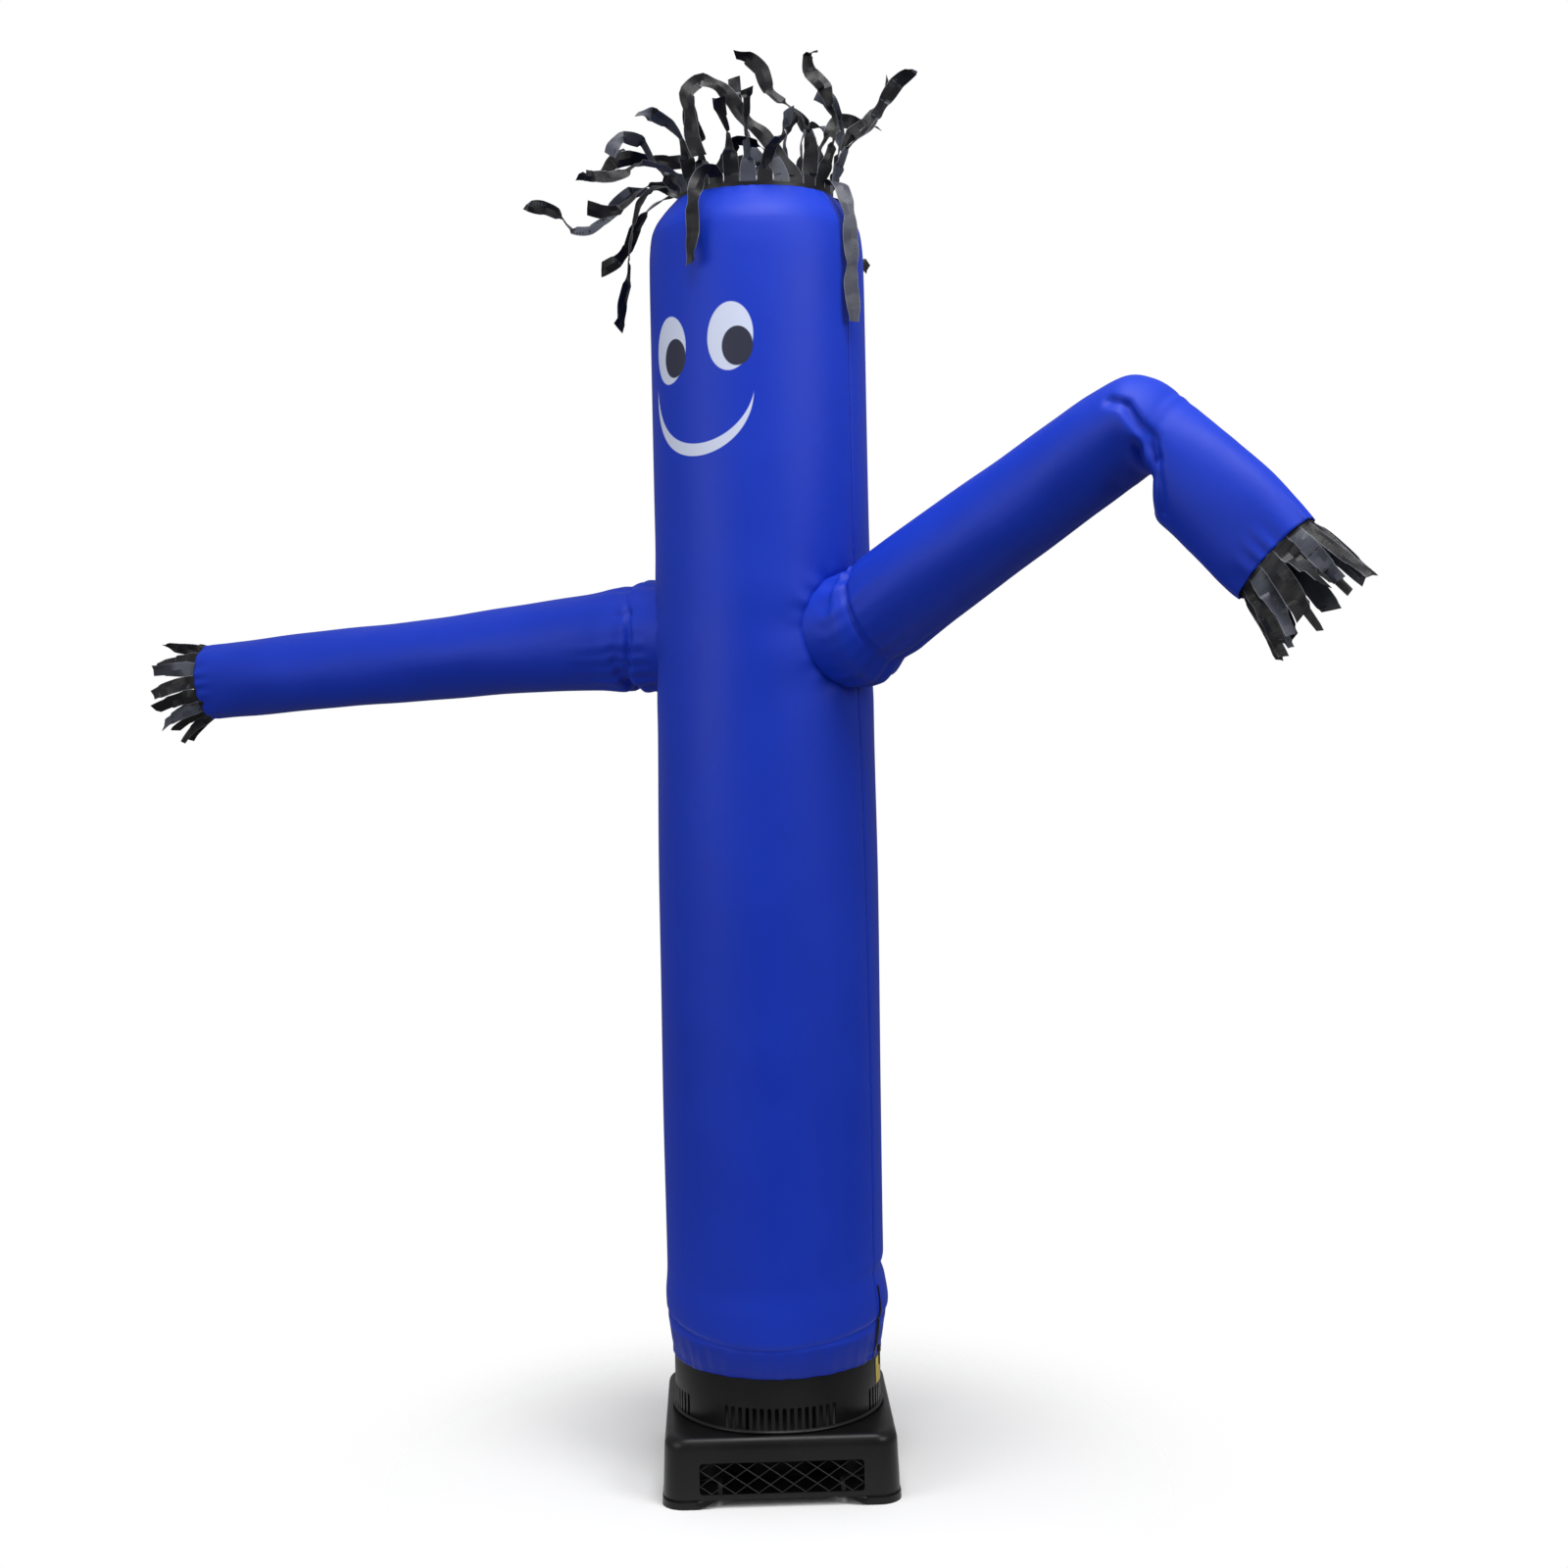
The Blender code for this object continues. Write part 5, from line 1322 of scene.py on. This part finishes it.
def hair():
    """Ribbons from the hair table: each heading sways as it goes, and its lift eases through five values."""
    table = np.array(HAIR)
    heading, sway, length, lifts, twist = table[:, 0], table[:, 1], table[:, 2], table[:, 3:8], table[:, 8]
    count = len(table)
    bearing = HAIR_START + 360.0 * np.arange(count) / count
    radius, low, top = HAIR_BAND
    root = around(bearing, radius - RIBBON_CLOTH / 2.0, top + HAIR_RISE)
    base = around(bearing, radius - RIBBON_CLOTH / 2.0, top - HAIR_OVERLAP)
    tangent = around(bearing + 90.0, 1.0, 0.0)
    share = (np.arange(RIBBON_STEPS)[None, :] + 0.5) / RIBBON_STEPS
    share = (1.0 - HAIR_FOLDED) * share + HAIR_FOLDED * np.minimum(folded(share, length), 1.0)
    number = np.arange(count)[:, None]
    place = share * (lifts.shape[1] - 1.0)
    index = np.minimum(place.astype(int), lifts.shape[1] - 2)
    ease = eased_step(place - index)
    reach = share * length[:, None]
    lift = lifts[number, index] + (lifts[number, index + 1] - lifts[number, index]) * ease
    lift = np.radians(lift + kinks(reach, share, *LIFT_KINKS))
    heading = heading[:, None] + sway[:, None] * share + kinks(reach, share, *HEADING_KINKS)
    ways = around(heading, 1.0, 0.0) * np.cos(lift)[..., None] + UP * np.sin(lift)[..., None]
    middles, widths = ribbon_paths(root, tangent, ways, length, HAIR_TWIST * twist)
    half = np.full(count, np.radians(360.0 / count * STRIP_SHARE) * radius / 2.0)
    # Which side of each ribbon is painted grey as sheen: 1, -1 for the other side, or 0 for none.
    grey = np.round(0.9 * np.sin(np.arange(count) * HAIR_SIDE_STEP))
    turns = np.arange(BAND_SIDES) * 360.0 / BAND_SIDES
    inside = radius - RIBBON_CLOTH
    rims = ((radius, low), (radius, top), (inside, top), (inside, low))
    band = np.stack([around(turns, *rim) for rim in rims], 1)
    sections = strip_sections(base, middles, widths, ways, length, half, RIBBON_SPREAD[1], HAIR_PINCH)
    return ribbons("hair", sections, grey, band)


head_fringe = hair()
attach(head_fringe, "root")
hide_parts("hair_fringe")

# A shorter fringe of the same nylon is sewn inside each cuff for a hand, cut into sixteen strips that
# flick outwards and droop.
BAND_INSET = 0.0034
BAND_REACH = (-0.012, 0.006)
STRIP_OVERLAP = 0.010
HAND_STEPS = 26
SPLAY_AT_ROOT = 0.4
HAND_STRIPS = 16
HAND_SPREAD = 1.14
HAND_TWIST = 1.1
HAND_PINCH = 0.10
HAND_SIDE_STEP = 2.3
HAND_BAND_SIDES = 72
RIGHT_STRIPS = (
    # splay_deg, droop_deg, length, twist_deg
    (4.0, 10.0, 0.130, 40.0),
    (14.0, 4.0, 0.150, -30.0),
    (8.0, 16.0, 0.120, 50.0),
    (20.0, 8.0, 0.115, -60.0),
    (16.0, 24.0, 0.125, 30.0),
    (8.0, 34.0, 0.130, -50.0),
    (14.0, 20.0, 0.120, 40.0),
    (4.0, 30.0, 0.135, -30.0),
    (10.0, 36.0, 0.130, 60.0),
    (2.0, 22.0, 0.120, -40.0),
    (12.0, 30.0, 0.110, 50.0),
    (6.0, 14.0, 0.125, -60.0),
    (14.0, 22.0, 0.115, 30.0),
    (8.0, 8.0, 0.120, -50.0),
    (16.0, 14.0, 0.125, 40.0),
    (6.0, 2.0, 0.140, -30.0),
)
LEFT_STRIPS = (
    # splay_deg, droop_deg, length, twist_deg
    (10.0, 4.0, 0.110, 60.0),
    (22.0, 16.0, 0.120, -50.0),
    (14.0, 8.0, 0.130, 40.0),
    (6.0, 22.0, 0.115, -60.0),
    (12.0, 10.0, 0.120, 50.0),
    (4.0, 34.0, 0.115, -40.0),
    (14.0, 24.0, 0.120, 60.0),
    (8.0, 44.0, 0.125, -30.0),
    (16.0, 38.0, 0.120, 50.0),
    (4.0, 30.0, 0.110, -60.0),
    (12.0, 24.0, 0.120, 40.0),
    (18.0, 12.0, 0.115, -50.0),
    (8.0, 20.0, 0.125, 30.0),
    (16.0, 6.0, 0.115, -40.0),
    (6.0, 14.0, 0.120, 50.0),
    (16.0, 2.0, 0.110, -60.0),
)


def cuff_point(bearing, section, turn, inset):
    """Points on the cuff's outline, moved in towards its middle."""
    reach, height, facing, half_width, up, down = section
    along, upward, level = sleeve_directions(bearing, np.array(facing))
    turn = np.radians(turn)[..., None]
    tall = np.where(np.cos(turn) >= 0.0, up, down) - inset
    return (around(bearing, reach, height) + upward * tall * np.cos(turn)
            + level * (half_width - inset) * np.sin(turn))


def hand(name, bearing, section, strips):
    """Strips from the band inside the cuff: each leans away from the cuff's middle, more towards its tip,
    and droops with its length."""
    table = np.array(strips)
    splay, droop, length, twist = table[:, 0], table[:, 1], table[:, 2], table[:, 3]
    along = sleeve_directions(bearing, np.array(section[2]))[0]
    pitch = 360.0 / HAND_STRIPS
    turn = pitch * np.arange(HAND_STRIPS)
    inset = BAND_INSET + RIBBON_CLOTH / 2.0
    first = cuff_point(bearing, section, turn - pitch * STRIP_SHARE / 2.0, inset)
    last = cuff_point(bearing, section, turn + pitch * STRIP_SHARE / 2.0, inset)
    half = np.linalg.norm(last - first, axis=1) / 2.0
    across = unit(last - first)
    root = (first + last) / 2.0 + along * BAND_REACH[1]
    base = root - along * STRIP_OVERLAP
    away = root - around(bearing, section[0], section[1])
    away = unit(away - along * np.sum(away * along, -1, keepdims=True))
    share = (np.arange(HAND_STEPS) + 0.5) / HAND_STEPS
    lean = np.radians(splay[:, None] * (SPLAY_AT_ROOT + (1.0 - SPLAY_AT_ROOT) * share))[..., None]
    fall = (np.tan(np.radians(droop))[:, None] * share)[..., None]
    ways = unit(along * np.cos(lean) + away[:, None] * np.sin(lean) - UP * fall)
    middles, widths = ribbon_paths(root, across, ways, length, HAND_TWIST * twist)
    # Which side of each strip is painted grey as sheen: 1, -1 for the other side, or 0 for none.
    grey = np.round(0.9 * np.sin(np.arange(HAND_STRIPS) * HAND_SIDE_STEP))
    turns = np.arange(HAND_BAND_SIDES) * 360.0 / HAND_BAND_SIDES
    outer = cuff_point(bearing, section, turns, BAND_INSET)
    inner = cuff_point(bearing, section, turns, BAND_INSET + RIBBON_CLOTH)
    band = np.stack([outer + along * BAND_REACH[0], outer + along * BAND_REACH[1],
                     inner + along * BAND_REACH[1], inner + along * BAND_REACH[0]], 1)
    sections = strip_sections(base, middles, widths, ways, length, half, HAND_SPREAD, HAND_PINCH)
    return ribbons(name, sections, grey, band)


for side, bearing, table, strips, flat, area in (
        ("right", ARMHOLE_BEARINGS[0], RIGHT_SLEEVE, RIGHT_STRIPS, (0.48, 0.158), 0.054),
        ("left", ARMHOLE_BEARINGS[1], LEFT_SLEEVE, LEFT_STRIPS, (0.54, 0.140), 0.058)):
    fingers = hand(f"{side}_hand", bearing, table[-1], strips)
    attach(fingers, "root")
    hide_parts(f"fringe_{side}")

# A short zip runs up from the hem beside the right seam: a black tape, two rows of moulded teeth,
# a slider at the bottom and the pull that hangs from it.
ZIP_BEARING = 64.7
ZIP_HEIGHTS = (0.262, 0.400)
ZIP_HALF = (0.0030, 0.0078)
ZIP_SPREAD = (0.375, 0.070)
ZIP_PROUD = 0.0013
TOOTH = (0.0022, 0.0012, 0.0010)
TOOTH_PITCH = 0.0024
SLIDER = (0.0092, 0.0045, 0.0140)
PULL = (0.0062, 0.0014, 0.0260)
PULL_RADIUS = 0.2298
PULL_GAP = 0.0003
BLOCK_BEVEL = 0.0003
SLIDER_SHAPE = (0.0022, (0.0008, -0.002))
PULL_SHAPE = (0.0024, (0.0016, 0.008))
ZIP_GRID = (90, 7)
TAPE_THICK = 0.0009
TOOTH_ASIDE = 0.0009
TOOTH_PROUD = 0.0004
TOOTH_CLEAR = 0.002
BOX_CORNERS = ((-1, -1, -1), (1, -1, -1), (1, 1, -1), (-1, 1, -1),
               (-1, -1, 1), (1, -1, 1), (1, 1, 1), (-1, 1, 1))
BOX_SIDES = ((0, 3, 2, 1), (4, 5, 6, 7), (0, 1, 5, 4), (1, 2, 6, 5), (2, 3, 7, 6), (3, 0, 4, 7))
ZIP_DARK = (0.006, 0.006, 0.007, 1.0)
ZIP_PALE = (0.014, 0.014, 0.015, 1.0)

black_zip = moulded("zip_black", ZIP_DARK, ZIP_PALE, (0.35, 0.5), 0.0008, 0.3)


def zip_tape():
    """A narrow strip that follows the tube's face, a little proud of it, and widens towards the slider."""
    height = np.linspace(*ZIP_HEIGHTS, ZIP_GRID[0])[:, None]
    share = np.linspace(-1.0, 1.0, ZIP_GRID[1])[None, :]
    half = ZIP_HALF[0] + (ZIP_HALF[1] - ZIP_HALF[0]) * eased_step((ZIP_SPREAD[0] - height) / ZIP_SPREAD[1])
    bearing = ZIP_BEARING + np.degrees(share * half / TUBE_MEAN)
    points = tube_point(bearing, height, ZIP_PROUD)
    across = share * half
    along = np.broadcast_to(height, across.shape)
    piece = cloth_sheet("zip_tape_cloth", points, False, across, along, black_zip)
    wall_of(piece, TAPE_THICK)
    return piece


def boxes(name, centres, bearing, size, material):
    """Small boxes with their broad faces square to a bearing, one at each centre."""
    directions = np.stack([around(bearing + 90.0, 1.0, 0.0), -around(bearing, 1.0, 0.0), UP])
    corners = np.array(BOX_CORNERS) * np.array(size) / 2.0
    points = centres[:, None] + (corners @ directions)[None]
    faces = (np.array(BOX_SIDES)[None] + 8 * np.arange(len(centres))[:, None, None]).reshape(-1, 4)
    return mesh_object(name, points, faces.tolist(), material, False)


def zip_teeth():
    """Two rows of small boxes, each row half a pitch from the other."""
    lowest, highest = ZIP_HEIGHTS[0] + SLIDER[2] + TOOTH_CLEAR, ZIP_HEIGHTS[1] - TOOTH_CLEAR
    height = np.arange(lowest, highest, TOOTH_PITCH / 2.0)
    side = np.where(np.arange(len(height)) % 2 == 0, -TOOTH_ASIDE, TOOTH_ASIDE)
    centres = tube_point(ZIP_BEARING + np.degrees(side / TUBE_MEAN), height, ZIP_PROUD + TOOTH_PROUD)
    return boxes("zip_teeth", centres, ZIP_BEARING, TOOTH, black_zip)


def rounded_block(name, centre, bearing, size, corner, hole, material):
    """A plate of rounded outline with a round hole, given as its radius and how far it is below the
    middle, joined ring by ring."""
    across, tall = rounded_rectangle(size[0] / 2.0, size[2] / 2.0, corner, 5)
    count = len(across)
    angle = np.arctan2(tall + hole[1], across)
    inner_x, inner_z = hole[0] * np.cos(angle), hole[0] * np.sin(angle) - hole[1]
    tangent, out = around(bearing + 90.0, 1.0, 0.0), around(bearing, 1.0, 0.0) * size[1]
    outer = centre + tangent * across[:, None] + UP * tall[:, None]
    inner = centre + tangent * inner_x[:, None] + UP * inner_z[:, None]
    rings = [outer + 0.5 * out, inner + 0.5 * out, inner - 0.5 * out, outer - 0.5 * out]
    faces = grid_faces(5, count, True).reshape(-1, 4) % (4 * count)
    piece = mesh_object(name, np.concatenate(rings), faces[:, ::-1].tolist(), material)
    sharpened(piece, TURNED_EDGE)
    bevel = piece.modifiers.new("edges", "BEVEL")
    bevel.width = BLOCK_BEVEL
    bevel.segments = 2
    return piece


slider_centre = around(ZIP_BEARING, PULL_RADIUS, ZIP_HEIGHTS[0] + SLIDER[2] / 2.0)
pull_centre = around(ZIP_BEARING, PULL_RADIUS, ZIP_HEIGHTS[0] - PULL_GAP - PULL[2] / 2.0)
tape = zip_tape()
teeth = zip_teeth()
slider = rounded_block("zip_slider_body", slider_centre, ZIP_BEARING, SLIDER, *SLIDER_SHAPE, black_zip)
pull = rounded_block("zip_pull_tab", pull_centre, ZIP_BEARING, PULL, *PULL_SHAPE, black_zip)
for piece, stands_for in ((tape, "zip_tape"), (teeth, None), (slider, "zip_slider"), (pull, "zip_pull")):
    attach(piece, "root")
    if stands_for:
        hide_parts(stands_for)
